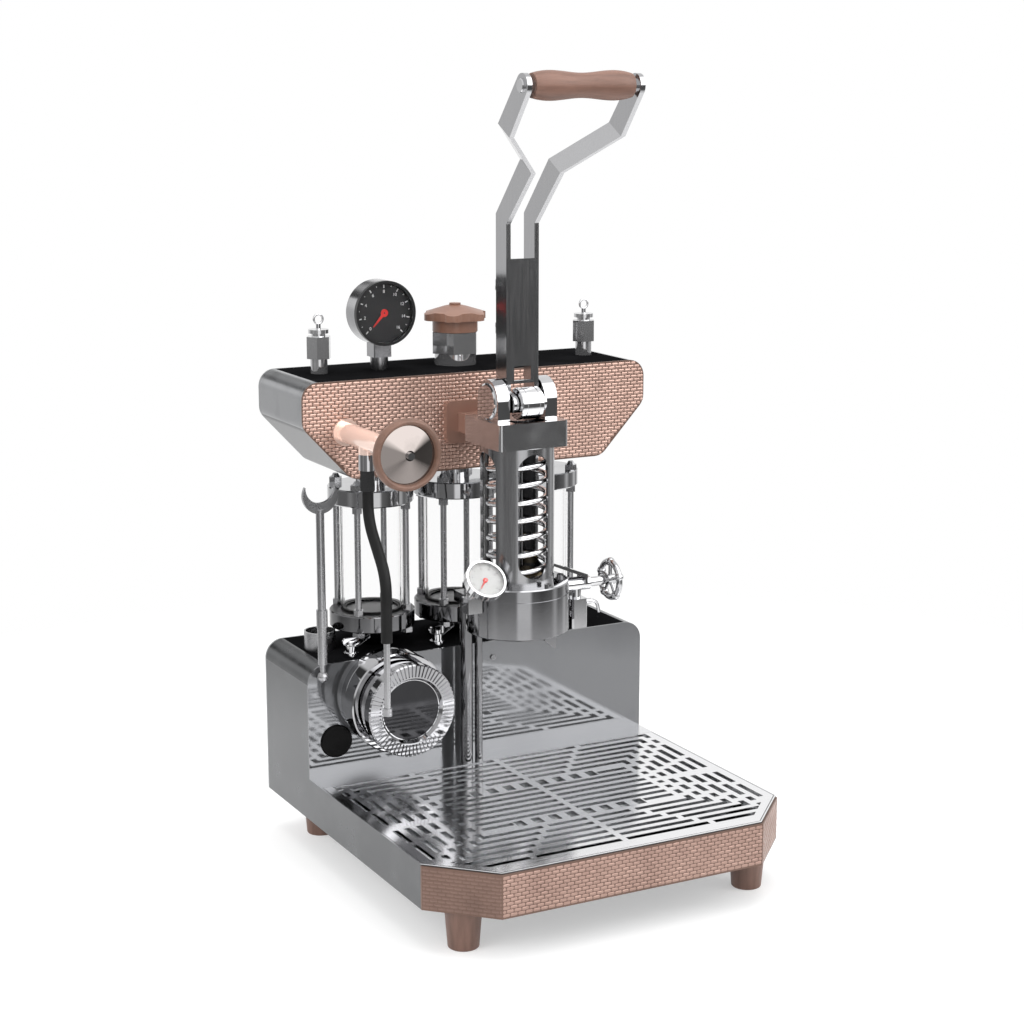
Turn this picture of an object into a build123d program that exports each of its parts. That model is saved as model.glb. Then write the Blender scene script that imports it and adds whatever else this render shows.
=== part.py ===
from build123d import *
import os
from math import cos, pi, radians, sin, sqrt, tan

# Manual espresso maker with a spring lever group.
# Millimetres, +Z up, +X to the right, -Y towards the user.
# The origin is on the table, below the middle of the machine's outline.

os.makedirs("parts", exist_ok=True)

# Base and tower
base_width = 360.0
base_depth = 398.8
foot_height = 37.2
tray_height = 40.4
tower_height = 149.6
tower_depth = 107.2
corner_cut = 50.0
tower_corner_radius = 18.0
skin = 1.5
band_thickness = 1.5
panel_thickness = 2.0
cover_thickness = 2.0
deck_thickness = 2.0

# Gaps and cuts
clearance = 0.3
running_gap = 0.05
overrun = 2.0

# Feet
foot_side_distance = 36.0
foot_front_distance = 44.4
foot_rear_distance = 45.4
foot_base_radius = 13.5
foot_top_radius = 16.5
foot_edge = 1.5

# Grille and drip pan
grille_thickness = 3.0
grille_back_distance = 27.4
grille_seam = 0.6
ledge_width = 7.0
ledge_thickness = 1.2
pan_wall = 1.2
pan_depth = 28.0
slot_width = 6.0
ring_count = 6
row_count = 4
ring_side_distance = 13.5
ring_front_distance = 21.4
ring_back_distance = 4.8
middle_bar = 16.0
middle_bar_step = 1.6
side_bar = 7.6
side_bar_shares = ((0.366, 0.5), (0.74, 1.0), (0.887, 1.0))
thin_bar = 6.0
front_bar_angle = 37.0
row_width_share = 0.589
hub_width_share = 0.625
dash_count = 8
dash_width_share = 0.514
dash_length = 13.0
grille_margin = 11.0

# Upper housing
housing_top = 450.6
housing_side_height = 40.8
housing_height = 91.7
housing_floor_step = 47.6
housing_corner_radius = 16.0
weave_thickness = 1.5
vent_slot_length = 60.0
vent_slot_width = 4.0
vent_slot_spacing = 11.0
vent_slot_count = 4

# Tanks behind the covers
tank_radius = 40.0
tank_end_gap = 3.8
tank_drop = 56.8
tank_dome = 14.0
heater_x = -45.0
heater_length = 50.0
heater_thickness = 3.0
saddle_spread = 150.0
saddle_thickness = 3.0
saddle_width = 60.0
boiler_radius = 38.0
boiler_end_distance = 14.4
boiler_drop = 45.6

# Glass columns
column_spacing = 90.0
column_back_distance = 53.4
flange_radius = 41.0
flange_thickness = 16.0
flange_edge = 1.0
riser_height = 18.2
neck_height = 16.9
riser_radius = 12.0
neck_radius = 14.0
glass_radius = 30.0
glass_wall = 2.5
gasket_thickness = 1.5
gasket_width = 5.0
rod_spacing = 50.0
rod_radius = 3.0
nut_radius = 6.5
nut_height = 5.0
nut_dome = 3.5
nut_dome_radius = 4.6
nut_dome_taper = 28.0
collar_radius = 5.0
collar_height = 6.0

# Drain taps on the tower
tap_offset_x = -40.0
tap_setback = 13.8
tap_base_radius = 7.0
tap_base_height = 4.5
tap_body_radius = 5.0
tap_height = 11.0
tap_pipe_radius = 2.6
tap_pipe_z = 6.6
wing_span = 17.0
wing_thickness = 3.0
wing_height = 7.0
wing_radius = 3.4

# Cup and fork post on the tower's left end
cup_side_distance = 35.8
cup_back_distance = 51.9
cup_radius = 15.0
cup_height = 17.8
cup_wall = 1.6
fork_side_distance = 12.0
fork_forward = 8.2
fork_drop = 26.9
fork_outer_radius = 17.0
fork_inner_radius = 14.4
fork_inner_rise = 7.4
fork_horn_rise = 8.4
fork_thickness = 4.0
fork_stem_radius = 3.85
fork_sleeve_radius = 5.2
fork_sleeve_rise = 38.8
fork_sleeve_height = 16.2
fork_tube_radius = 4.4
fork_tube_rise = 3.2
fork_neck_radius = 2.6
fork_ball_radius = 5.2
fork_ball_drop = 8.8
fork_pin_radius = 2.0

# Lever group
group_reach = 74.2
bell_radius = 48.0
bell_height = 47.0
bell_groove_drop = 11.5
bell_groove_width = 1.2
bell_groove_depth = 0.8
bell_edge = 1.0
socket_radius = 36.0
socket_depth = 22.5
bayonet_radius = 40.0
bayonet_rise = 11.0
bayonet_height = 6.0
bayonet_entry_width = 24.0
chamber_radius = 25.0
chamber_rise = 7.0
stop_angle = -73.0
stop_drop = 13.0
stop_width = 12.0
stop_thickness = 3.0
cylinder_radius = 34.0
cylinder_bore = 31.0
cylinder_height = 127.0
window_width = 30.8
window_top_gap = 5.0
head_drop = 57.6
head_width = 70.0
head_front = 33.0
head_back = 39.0
head_thickness = 24.0
head_edge = 3.0
track_half_width = 17.2
track_front = 28.3
track_back = 17.6
track_corner = 3.0
arm_width = 52.0
arm_height = 18.0
wall_flange_width = 76.0
wall_flange_height = 40.0
wall_flange_thickness = 6.0
wall_flange_corner = 5.0
cheek_gap = 36.0
cheek_thickness = 12.3
cheek_radius = 20.0
pivot_rise = 17.0
pivot_radius = 8.0
pivot_head_radius = 16.7
pivot_head_thickness = 1.6
pivot_inner_x = 11.6

# Piston, rod and spring
piston_thickness = 11.0
piston_radius = 24.6
piston_drop = 6.0
seal_width = 2.2
seal_depth = 2.0
seal_spacing = 5.6
rod_diameter = 10.0
cap_thickness = 3.5
cap_drop = 5.0
cap_gap = 0.5
button_radius = 16.4
button_sink = 0.2
spring_wire = 5.0
spring_mean_radius = 27.4
spring_turns = 6.75
spring_start_angle = -157.0
quarter_turn = 90.0

# Shower screen and rubber
screen_radius = 28.0
screen_thickness = 1.4
screen_hole_radius = 1.3
screen_hole_count = 8
screen_hole_reach = 18.0
group_gasket_height = 5.0

# Lever
arm_thickness = 4.5
arm_gap = 24.0
arm_depth = 20.0
arm_straight = 159.0
arm_fold_reach = 56.0
arm_fold_rise = 11.5
arm_fold_depth = 20.4
arm_spread = 40.0
arm_spread_y = -35.15
arm_spread_z = 31.6
arm_nose_radius = 12.0
roller_radius = 14.5
roller_width = 22.0
roller_reach = 18.0
roller_drop = 1.0
roller_edge = 0.8
roller_groove_shares = (0.22, 0.78)
roller_groove_width = 1.2
roller_groove_depth = 0.6
roller_boss_radius = 8.0
axle_radius = 4.0
web_thickness = 4.0
web_rise = 16.0
web_end_gap = 31.0
web_window_gap = 2.5
web_window_height = 13.0
web_window_width = 17.0
grip_reach = 113.0
grip_rise = 120.5
grip_length = 95.0
grip_end_radius = 10.3
grip_bulge_radius = 12.6
grip_waist_radius = 10.4
grip_bulge_inset = 17.0
arm_end_radius = 10.2
grip_bolt_radius = 4.0
grip_bolt_head_radius = 6.0
grip_bolt_head = 2.2
grip_bolt_edge = 0.8

# Posts below the group
post_x = -26.0
post_forward = 20.4
post_radius = 6.0
drain_x = -13.6
drain_forward = 21.6
drain_radius = 3.75
bracket_rise = 17.0
bracket_height = 10.0
bracket_margin = 2.5
bracket_back = 38.0

# Large gauge
gauge_x = -78.3
gauge_back_distance = 69.4
gauge_rise = 54.4
gauge_radius = 30.4
gauge_depth = 27.0
gauge_bezel = 2.6
gauge_recess = 6.0
gauge_back_taper = 3.0
gauge_glass_thickness = 1.2
gauge_block = 18.0
gauge_block_setback = 17.5
gauge_block_edge = 1.0
gauge_block_entry = 4.0
gauge_block_rise = 12.4
gauge_pipe_radius = 8.5
dial_thickness = 1.0
pointer_post_radius = 0.8
pointer_thickness = 0.7
pointer_share = 0.61
pointer_tail_share = 0.1
pointer_tail_width_share = 0.06
pointer_tip_width_share = 0.015
pointer_hub_share = 0.13
pointer_rest_angle = 228.0

# Small gauge beside the bell
small_gauge_x = -51.0
small_gauge_forward = 37.0
small_gauge_rise = 14.0
small_gauge_radius = 19.0
small_gauge_depth = 13.0
small_gauge_bezel = 1.8
small_gauge_recess = 4.6
small_gauge_taper = 5.0
small_gauge_tilt = 42.0
small_gauge_stem_radius = 4.0
small_gauge_stem_length = 23.0
gauge_boss_size = 14.0
gauge_boss_shift = -1.5
gauge_boss_forward = 11.0
gauge_boss_drop = 16.0

# Fill neck and cap
fill_x = 3.0
fill_tube_radius = 20.0
fill_tube_height = 11.1
fill_collar_height = 20.3
fill_collar_radius = 24.0
fill_bore_radius = 15.0
fill_bore_floor = 3.4
cap_ring_radius = 21.7
cap_ring_height = 11.2
cap_lobe_count = 6
cap_core_radius = 27.0
cap_lobe_radius = 8.6
cap_lobe_reach = 23.2
cap_lobe_fillet = 5.0
cap_rim_height = 5.4
cap_dome_height = 13.9
cap_rim_round = 2.4
cap_plug_length = 12.0
cap_plug_gap = 0.1
cap_button_radius = 5.5
cap_button_height = 1.8

# Valves on the upper housing
safety_left_distance = 41.5
safety_right_distance = 35.0
fitting_back_distance = 49.4
safety_pipe_radius = 8.0
safety_pipe_height = 14.0
safety_hex_radius = 12.0
safety_hex_height = 20.5
safety_neck_radius = 6.5
safety_neck_height = 3.0
safety_flange_radius = 9.5
safety_flange_height = 3.6
safety_stem_radius = 2.2
safety_stem_height = 5.0
pull_ring_radius = 4.4
pull_ring_wire = 1.0
vent_x = 55.5
vent_pipe_radius = 4.5
vent_bulb_radius = 8.0
vent_bulb_height = 14.5
vent_bulb_edge = 2.5
vent_body_radius = 6.6
vent_lower_rise = 31.4
vent_upper_rise = 73.4
vent_button_radius = 3.6
vent_button_rise = 52.4
vent_button_height = 1.6

# Steam valve and wand
steam_side_distance = 42.0
steam_drop = 47.1
steam_pipe_radius = 9.3
steam_flange_radius = 12.5
steam_flange_thickness = 2.5
steam_pipe_length = 114.2
steam_bonnet_radius = 7.0
steam_bonnet_length = 9.0
spindle_radius = 3.2
wheel_reach = 132.2
wheel_outer_radius = 31.8
wheel_rim_width = 6.2
wheel_rim_depth = 10.0
wheel_hub_radius = 4.6
wheel_hub_length = 12.0
wheel_dish_depth = 7.0
wheel_dish_thickness = 2.0
wheel_rim_bite = 1.5
spindle_cap_length = 3.0
outlet_forward = 48.2
outlet_radius = 8.0
outlet_drop = 27.0
ferrule_radius = 7.3
ferrule_height = 19.0
wand_tube_radius = 3.0
wand_spigot = 8.0
wand_sleeve_radius = 5.15
wand_sleeve_gap = 0.2
wand_bend_start = 27.0
wand_bend_end = 72.0
wand_reach = 37.0
wand_bend_radius = 45.0
wand_sleeve_length = 132.0
wand_length = 200.0
wand_nozzle_radius = 4.2
wand_nozzle_height = 7.0

# Side valve on the bell
side_body_radius = 6.5
side_body_sink = 8.0
side_body_length = 28.0
side_neck_length = 16.0
side_block_reach = 15.0
side_block_width = 16.0
side_block_height = 28.0
side_block_drop = 13.5
side_block_edge = 1.5
side_neck_radius = 4.5
side_spindle_radius = 3.0
side_wheel_reach = 52.0
side_wheel_radius = 20.0
side_wheel_wire = 3.0
side_wheel_hub_radius = 5.0
side_wheel_hub_length = 8.0
side_wheel_spokes = 5
side_spoke_radius = 1.8
side_wheel_knob_radius = 4.2
brace_reach = 23.0
brace_start_rise = 13.5
brace_end_drop = 2.0
brace_thickness = 2.6
brace_width = 16.0
side_nozzle_radius = 2.6
side_nozzle_length = 8.0
side_nozzle_drop = 18.5
spout_radius = 1.6
spout_run = 6.0
spout_drop = 12.0
spout_lean = 3.0
spout_bend_radius = 7.0

# Round hatch on the tower
hatch_side_distance = 78.0
hatch_drop = 36.8
hatch_flange_radius = 45.0
hatch_flange_depth = 10.0
hatch_waist_radius = 40.0
hatch_waist_depth = 4.0
hatch_ring_radius = 48.0
hatch_ring_depth = 20.0
hatch_groove_radius = 38.0
hatch_groove_depth = 4.0
hatch_barrel_radius = 41.0
hatch_barrel_depth = 12.0
hatch_spigot_radius = 34.0
hatch_spigot_depth = 8.0
hatch_window_radius = 28.1
hatch_window_depth = 1.5
hatch_disc_thickness = 1.0
hatch_edge = 1.2
lock_ring_radius = 43.7
lock_ring_lip = 3.4
lock_ring_mouth = 31.0
lock_ring_throat = 28.8
lock_face_edge = 1.2
lock_groove_depth = 1.4
lock_groove_share = 0.45
lock_groove_count = 64

# Button on the tower
button_side_distance = 27.6
button_drop = 75.5
button_face_radius = 15.6
button_edge = 0.8
button_thickness = 3.4
button_proud = 2.2
button_travel = 2.0
button_stem_radius = 9.0
button_stem_length = 12.0
button_guide_wall = 3.0

# Screws
screw_radius = 2.6
screw_height = 1.6
bell_screw_radius = 3.2
bell_screw_height = 2.6
bell_screw_reach = 41.0
bell_screw_angles = (-135.0, -75.0, -15.0)
cover_screw_inset = 12.0
tower_screw_x = 13.0
tower_screw_drop = 16.0

# Derived places
half_width = base_width / 2
back_y = base_depth / 2
front_y = -back_y
tray_top = foot_height + tray_height
tower_top = foot_height + tower_height
tower_front = back_y - tower_depth
housing_bottom = housing_top - housing_height
grille_back_y = tower_front - grille_back_distance
group_y = tower_front - group_reach
column_xs = (-column_spacing, 0, column_spacing)
column_y = back_y - column_back_distance
fitting_y = back_y - fitting_back_distance
pan_floor_z = foot_height + skin + clearance
ledge_top_z = tray_top - grille_thickness - clearance
tank_z = tower_top - tank_drop
boiler_z = housing_top - boiler_drop
cylinder_top_z = housing_top - head_drop
head_top_z = cylinder_top_z + head_thickness
bell_top_z = cylinder_top_z - cylinder_height
bell_bottom_z = bell_top_z - bell_height
bell_groove_z = bell_top_z - bell_groove_drop
chamber_top_z = bell_top_z + chamber_rise
pivot_z = head_top_z + pivot_rise
button_x = -half_width + button_side_distance
button_z = tower_top - button_drop
arm_inner_x = arm_gap / 2
arm_outer_x = arm_inner_x + arm_thickness


def front_plane(y):
    """Plane that faces the user, with its sketch axes along X and Z."""
    return Plane.XZ.offset(-y)


def side_plane(x):
    """Plane that faces right, with its sketch axes along Y and Z."""
    return Plane.YZ.offset(x)


def turn(origin, direction, outline, mode=Mode.ADD):
    """Turn a closed outline of (radius, height) points about a line."""
    base = Plane(origin, z_dir=direction)
    section = Plane(origin, x_dir=base.x_dir, z_dir=base.y_dir * -1)
    with BuildSketch(section) as profile:
        with BuildLine():
            Polyline(*outline, close=True)
        make_face()
    revolve(profile.sketch, axis=Axis(origin, direction), mode=mode)


def ring(origin, direction, radius, wire_radius):
    """Round wire ring about a line."""
    base = Plane(origin, z_dir=direction)
    section = Plane(origin, x_dir=base.x_dir, z_dir=base.y_dir * -1)
    with BuildSketch(section) as profile:
        with Locations((radius, 0)):
            Circle(wire_radius)
    revolve(profile.sketch, axis=Axis(origin, direction))


def disc(origin, direction, radius, height, mode=Mode.ADD):
    """Solid disc that starts at a point and grows along a direction."""
    with BuildSketch(Plane(origin, z_dir=direction)) as profile:
        Circle(radius)
    extrude(profile.sketch, amount=height, mode=mode)


def tube_between(start, end, radius):
    """Round bar from one point to another."""
    run = Vector(*end) - Vector(*start)
    disc(start, run.normalized(), radius, run.length)


def tray_outline(side_inset, front_inset, back):
    """Corners of the tray's plan, drawn in from its sides and its front."""
    half = half_width - side_inset
    front = front_y + front_inset
    cut_line = half_width - front_y - corner_cut - front_inset * sqrt(2)
    return [
        (half, back),
        (half, half - cut_line),
        (cut_line + front, front),
        (-cut_line - front, front),
        (-half, half - cut_line),
        (-half, back),
    ]


def tray_face(side_inset, front_inset, back, mode=Mode.ADD):
    """Face of the tray's plan inside the current sketch."""
    with BuildLine() as plan:
        Polyline(*tray_outline(side_inset, front_inset, back), close=True)
    make_face(plan.edges(), mode=mode)


# Steel shell: floor, tray sides, deck strip and the wrap of the tower
with BuildPart() as base_shell:
    with BuildSketch(Plane.XY.offset(foot_height)):
        tray_face(0, band_thickness, back_y - cover_thickness)
    extrude(amount=tray_height)
    with BuildSketch(Plane.XY.offset(foot_height + skin)):
        tray_face(skin, band_thickness + skin, back_y)
    extrude(amount=tray_height, mode=Mode.SUBTRACT)
    with BuildSketch(Plane.XY.offset(ledge_top_z - ledge_thickness)):
        tray_face(skin / 2, band_thickness + skin / 2, tower_front)
        tray_face(skin + ledge_width, band_thickness + skin + ledge_width, grille_back_y - ledge_width, Mode.SUBTRACT)
    extrude(amount=ledge_thickness)
    with BuildSketch(Plane.XY.offset(tray_top - grille_thickness - clearance)):
        with Locations((0, (grille_back_y + clearance + tower_front + panel_thickness) / 2)):
            Rectangle(base_width - skin, tower_front + panel_thickness - grille_back_y - clearance)
    extrude(amount=grille_thickness + clearance)
    with BuildSketch(front_plane(back_y - cover_thickness)) as wrap:
        with Locations((0, foot_height + tower_height / 2)):
            Rectangle(base_width, tower_height)
        fillet(wrap.vertices().group_by(Axis.Y)[-1], tower_corner_radius)
        offset(amount=-skin, mode=Mode.SUBTRACT)
        with Locations((0, tower_top)):
            Rectangle(base_width - 2 * tower_corner_radius, 2 * skin + overrun, mode=Mode.SUBTRACT)
    extrude(amount=tower_depth - cover_thickness - panel_thickness)
base_shell.part.label = "base_shell"
export_step(base_shell.part, "parts/base_shell.step")

# Four tapered wooden feet
foot_rows = (front_y + foot_front_distance, back_y - foot_rear_distance)
foot_points = [(side * (half_width - foot_side_distance), y) for side in (-1, 1) for y in foot_rows]
with BuildPart() as feet:
    with Locations(*foot_points):
        Cone(foot_base_radius, foot_top_radius, foot_height, align=(Align.CENTER, Align.CENTER, Align.MIN))
    fillet(feet.edges().group_by(Axis.Z)[0], foot_edge)
feet.part.label = "feet"
export_step(feet.part, "parts/feet.step")

# Drip pan that lifts out of the tray
pan_inset = skin + ledge_width + clearance
with BuildPart() as drip_pan:
    with BuildSketch(Plane.XY.offset(pan_floor_z)):
        tray_face(pan_inset, band_thickness + pan_inset, grille_back_y - ledge_width - clearance)
    extrude(amount=pan_depth)
    inner = pan_inset + pan_wall
    with BuildSketch(Plane.XY.offset(pan_floor_z + pan_wall)):
        tray_face(inner, band_thickness + inner, grille_back_y - ledge_width - clearance - pan_wall)
    extrude(amount=pan_depth, mode=Mode.SUBTRACT)
drip_pan.part.label = "drip_pan"
export_step(drip_pan.part, "parts/drip_pan.step")


ring_half_width = half_width - ring_side_distance
ring_half_depth = (grille_back_y - ring_back_distance - front_y - ring_front_distance) / 2
ring_centre_y = front_y + ring_front_distance + ring_half_depth
ring_spacing = ring_half_depth / (ring_count + row_count)


def open_spans(end, bars):
    """Stretches between -end and end that the bars leave open."""
    edges = [-end]
    for centre, width in sorted(bars):
        edges += [centre - width / 2, centre + width / 2]
    edges.append(end)
    return [(low, high) for low, high in zip(edges[::2], edges[1::2]) if high - low > slot_width / 2]


def slot_columns(x, end, bars):
    """Slots along Y, on both sides of the grille."""
    for low, high in open_spans(end, bars):
        with Locations((x, ring_centre_y + (low + high) / 2), (-x, ring_centre_y + (low + high) / 2)):
            Rectangle(slot_width, high - low)


def slot_rows(y, end, bars):
    """Slots along X, at the front and the back of the grille."""
    for low, high in open_spans(end, bars):
        with Locations(((low + high) / 2, ring_centre_y + y), ((low + high) / 2, ring_centre_y - y)):
            Rectangle(high - low, slot_width)


# Slotted grille: nested rings of slots, cut by bars that run out from the middle
grille_inset = skin + grille_seam
row_width = 2 * ring_half_width * row_width_share
dash_spacing = row_width * hub_width_share / (dash_count - 1)
with BuildPart() as grille:
    with BuildSketch(Plane.XY.offset(tray_top - grille_thickness)):
        tray_face(grille_inset, band_thickness + grille_inset, grille_back_y)
    extrude(amount=grille_thickness)
    with BuildSketch(Plane.XY.offset(tray_top - grille_thickness)):
        for step in range(ring_count):
            across = ring_half_width - step * ring_spacing
            along = ring_half_depth - step * ring_spacing
            side_bars = [(0, middle_bar - step * middle_bar_step)]
            for place_share, step_share in side_bar_shares:
                bar_y = ring_half_depth * place_share - step * ring_spacing * step_share
                side_bars += [(-bar_y, side_bar), (bar_y, side_bar)]
            slot_columns(across, along + slot_width / 2, side_bars)
            bar_x = along * tan(radians(front_bar_angle))
            front_bars = [(-bar_x, thin_bar), (0, thin_bar), (bar_x, thin_bar)]
            slot_rows(along, across + slot_width / 2, front_bars)
        for row in range(row_count - 1):
            slot_rows((row + 1 / 2) * ring_spacing, row_width / 2, [(0, thin_bar)])
        hub_row = (row_count - 1 / 2) * ring_spacing
        slot_rows(hub_row, row_width / 2, [(0, row_width * hub_width_share + 2 * thin_bar)])
        for way in (-1, 1):
            with Locations((0, ring_centre_y + way * (hub_row + (dash_length - slot_width) / 4))):
                with GridLocations(dash_spacing, dash_spacing, dash_count, 1):
                    Rectangle(dash_spacing * dash_width_share, dash_length)
        tray_face(grille_margin, grille_margin, grille_back_y, Mode.INTERSECT)
    extrude(amount=grille_thickness, mode=Mode.SUBTRACT)
grille.part.label = "grille"
export_step(grille.part, "parts/grille.step")

# Polished front panel of the tower
with BuildPart() as tower_front_panel:
    with BuildSketch(front_plane(tower_front + panel_thickness)) as panel:
        with Locations((0, (tray_top + tower_top) / 2)):
            Rectangle(base_width, tower_top - tray_top)
        fillet(panel.vertices().group_by(Axis.Y)[-1], tower_corner_radius)
        with Locations((button_x, button_z)):
            Circle(button_face_radius + clearance, mode=Mode.SUBTRACT)
    extrude(amount=panel_thickness)
tower_front_panel.part.label = "tower_front_panel"
export_step(tower_front_panel.part, "parts/tower_front_panel.step")


def housing_face():
    """Outline of the upper housing, inside the current sketch."""
    floor_half = half_width - housing_floor_step
    side_z = housing_top - housing_side_height
    with BuildLine() as plan:
        Polyline(
            (half_width, housing_top),
            (half_width, side_z),
            (floor_half, housing_bottom),
            (-floor_half, housing_bottom),
            (-half_width, side_z),
            (-half_width, housing_top),
            close=True,
        )
    make_face(plan.edges())


with BuildSketch() as housing_outline:
    housing_face()
    fillet(housing_outline.vertices(), housing_corner_radius)

# Steel wrap of the upper housing, open at its top
with BuildPart() as upper_shell:
    with BuildSketch(front_plane(back_y - cover_thickness)):
        add(housing_outline.sketch)
        offset(amount=-skin, mode=Mode.SUBTRACT)
        with Locations((0, housing_top)):
            Rectangle(base_width - 2 * housing_corner_radius, 2 * skin + overrun, mode=Mode.SUBTRACT)
    extrude(amount=tower_depth - cover_thickness - weave_thickness)
upper_shell.part.label = "upper_shell"
export_step(upper_shell.part, "parts/upper_shell.step")

# Woven covers: a band round the tray's front and the upper housing's front panel
with BuildPart() as woven_panels:
    with BuildSketch(Plane.XY.offset(foot_height)):
        tray_face(0, 0, 0)
        tray_face(0, band_thickness, 0, Mode.SUBTRACT)
    extrude(amount=tray_height - skin)
    with BuildSketch(front_plane(tower_front + weave_thickness)):
        add(housing_outline.sketch)
    extrude(amount=weave_thickness)
woven_panels.part.label = "woven_panels"
export_step(woven_panels.part, "parts/woven_panels.step")

# Black top plates: the tower's, with a hole for each riser, and the upper housing's
plate_set = (
    (tower_top, tower_corner_radius, tower_front + panel_thickness),
    (housing_top, housing_corner_radius, tower_front + weave_thickness),
)
with BuildPart() as top_plates:
    for top_z, corner_radius, start_y in plate_set:
        with BuildSketch(Plane.XY.offset(top_z - deck_thickness)):
            with Locations((0, (start_y + back_y - cover_thickness) / 2)):
                Rectangle(base_width - 2 * corner_radius, back_y - cover_thickness - start_y)
        extrude(amount=deck_thickness)
    with BuildSketch(Plane.XY.offset(tower_top - deck_thickness)):
        with Locations(*[(x, column_y) for x in column_xs]):
            Circle(riser_radius)
    extrude(amount=deck_thickness, mode=Mode.SUBTRACT)
top_plates.part.label = "top_plates"
export_step(top_plates.part, "parts/top_plates.step")

# Rear covers of the tower and the upper housing, with vent slots
slot_sites = [(side * column_spacing, row) for side in (-1, 1) for row in range(vent_slot_count)]
with BuildPart() as rear_covers:
    with BuildSketch(front_plane(back_y)) as cover:
        with Locations((0, foot_height + tower_height / 2)):
            Rectangle(base_width, tower_height)
        fillet(cover.vertices().group_by(Axis.Y)[-1], tower_corner_radius)
        add(housing_outline.sketch)
        for x, row in slot_sites:
            rise = (row - (vent_slot_count - 1) / 2) * vent_slot_spacing
            with Locations((x, tank_z + rise), (x, boiler_z + rise)):
                SlotOverall(vent_slot_length, vent_slot_width, mode=Mode.SUBTRACT)
    extrude(amount=cover_thickness)
rear_covers.part.label = "rear_covers"
export_step(rear_covers.part, "parts/rear_covers.step")


def tank_outline(radius, length, dome):
    """Half section of a round tank with bevelled ends, about its own axis."""
    return [(0, 0), (radius - dome, 0), (radius, dome), (radius, length - dome), (radius - dome, length), (0, length)]


# Water tank in the tower, between the switch body and its like, and boiler in the upper housing
tank_length = 2 * (-button_x - button_face_radius - button_guide_wall - tank_end_gap)
boiler_length = 2 * (half_width - housing_floor_step - boiler_end_distance)
with BuildPart() as water_tanks:
    turn((-tank_length / 2, column_y, tank_z), (1, 0, 0), tank_outline(tank_radius, tank_length, tank_dome))
    turn((-boiler_length / 2, column_y, boiler_z), (1, 0, 0), tank_outline(boiler_radius, boiler_length, tank_dome))
water_tanks.part.label = "water_tanks"
export_step(water_tanks.part, "parts/water_tanks.step")

# Flanges, risers and necks of the three glass columns
column_sites = [(x, column_y) for x in column_xs]
rod_sites = [
    (x + way_x * rod_spacing / 2, column_y + way_y * rod_spacing / 2)
    for x in column_xs
    for way_x in (-1, 1)
    for way_y in (-1, 1)
]
lower_flange_z = tower_top + riser_height
upper_flange_z = housing_bottom - neck_height - flange_thickness
lower_flange_top = lower_flange_z + flange_thickness
upper_flange_top = upper_flange_z + flange_thickness
with BuildPart() as column_flanges:
    for x in column_xs:
        turn((x, column_y, 0), (0, 0, 1), [
            (0, tank_z + tank_radius),
            (riser_radius, tank_z + tank_radius),
            (riser_radius, lower_flange_z),
            (flange_radius - flange_edge, lower_flange_z),
            (flange_radius, lower_flange_z + flange_edge),
            (flange_radius, lower_flange_top - flange_edge),
            (flange_radius - flange_edge, lower_flange_top),
            (0, lower_flange_top),
        ])
        turn((x, column_y, 0), (0, 0, 1), [
            (0, upper_flange_z),
            (flange_radius - flange_edge, upper_flange_z),
            (flange_radius, upper_flange_z + flange_edge),
            (flange_radius, upper_flange_top - flange_edge),
            (flange_radius - flange_edge, upper_flange_top),
            (neck_radius, upper_flange_top),
            (neck_radius, housing_bottom),
            (0, housing_bottom),
        ])
    with BuildSketch(Plane.XY.offset(lower_flange_z)):
        with Locations(*rod_sites):
            Circle(rod_radius + running_gap)
    extrude(amount=upper_flange_top - lower_flange_z, mode=Mode.SUBTRACT)
column_flanges.part.label = "column_flanges"
export_step(column_flanges.part, "parts/column_flanges.step")

# Tie rods with their collars between the flanges and domed nuts outside them
with BuildPart() as tie_rods:
    with BuildSketch(Plane.XY.offset(lower_flange_z - nut_height)):
        with Locations(*rod_sites):
            Circle(rod_radius)
    extrude(amount=upper_flange_top - lower_flange_z + 2 * nut_height)
    for z in (lower_flange_top, upper_flange_z - collar_height):
        with BuildSketch(Plane.XY.offset(z)):
            with Locations(*rod_sites):
                RegularPolygon(collar_radius, 6)
        extrude(amount=collar_height)
    for z in (lower_flange_z - nut_height, upper_flange_top):
        with BuildSketch(Plane.XY.offset(z)):
            with Locations(*rod_sites):
                RegularPolygon(nut_radius, 6)
        extrude(amount=nut_height)
    for z, way in ((lower_flange_z - nut_height, -1), (upper_flange_top + nut_height, 1)):
        with BuildSketch(Plane.XY.offset(z)):
            with Locations(*rod_sites):
                RegularPolygon(nut_dome_radius, 8)
        extrude(amount=way * nut_dome, taper=nut_dome_taper)
tie_rods.part.label = "tie_rods"
export_step(tie_rods.part, "parts/tie_rods.step")

# Rubber rings: column gaskets and the group's seal
with BuildPart() as rubber_rings:
    for z in (lower_flange_top, upper_flange_z - gasket_thickness):
        with BuildSketch(Plane.XY.offset(z)):
            with Locations(*column_sites):
                Circle(glass_radius)
                Circle(glass_radius - gasket_width, mode=Mode.SUBTRACT)
        extrude(amount=gasket_thickness)
    with BuildSketch(Plane.XY.offset(bell_bottom_z + socket_depth - group_gasket_height)):
        with Locations((0, group_y)):
            Circle(socket_radius)
            Circle(screen_radius + clearance, mode=Mode.SUBTRACT)
    extrude(amount=group_gasket_height)
rubber_rings.part.label = "rubber_rings"
export_step(rubber_rings.part, "parts/rubber_rings.step")

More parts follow.
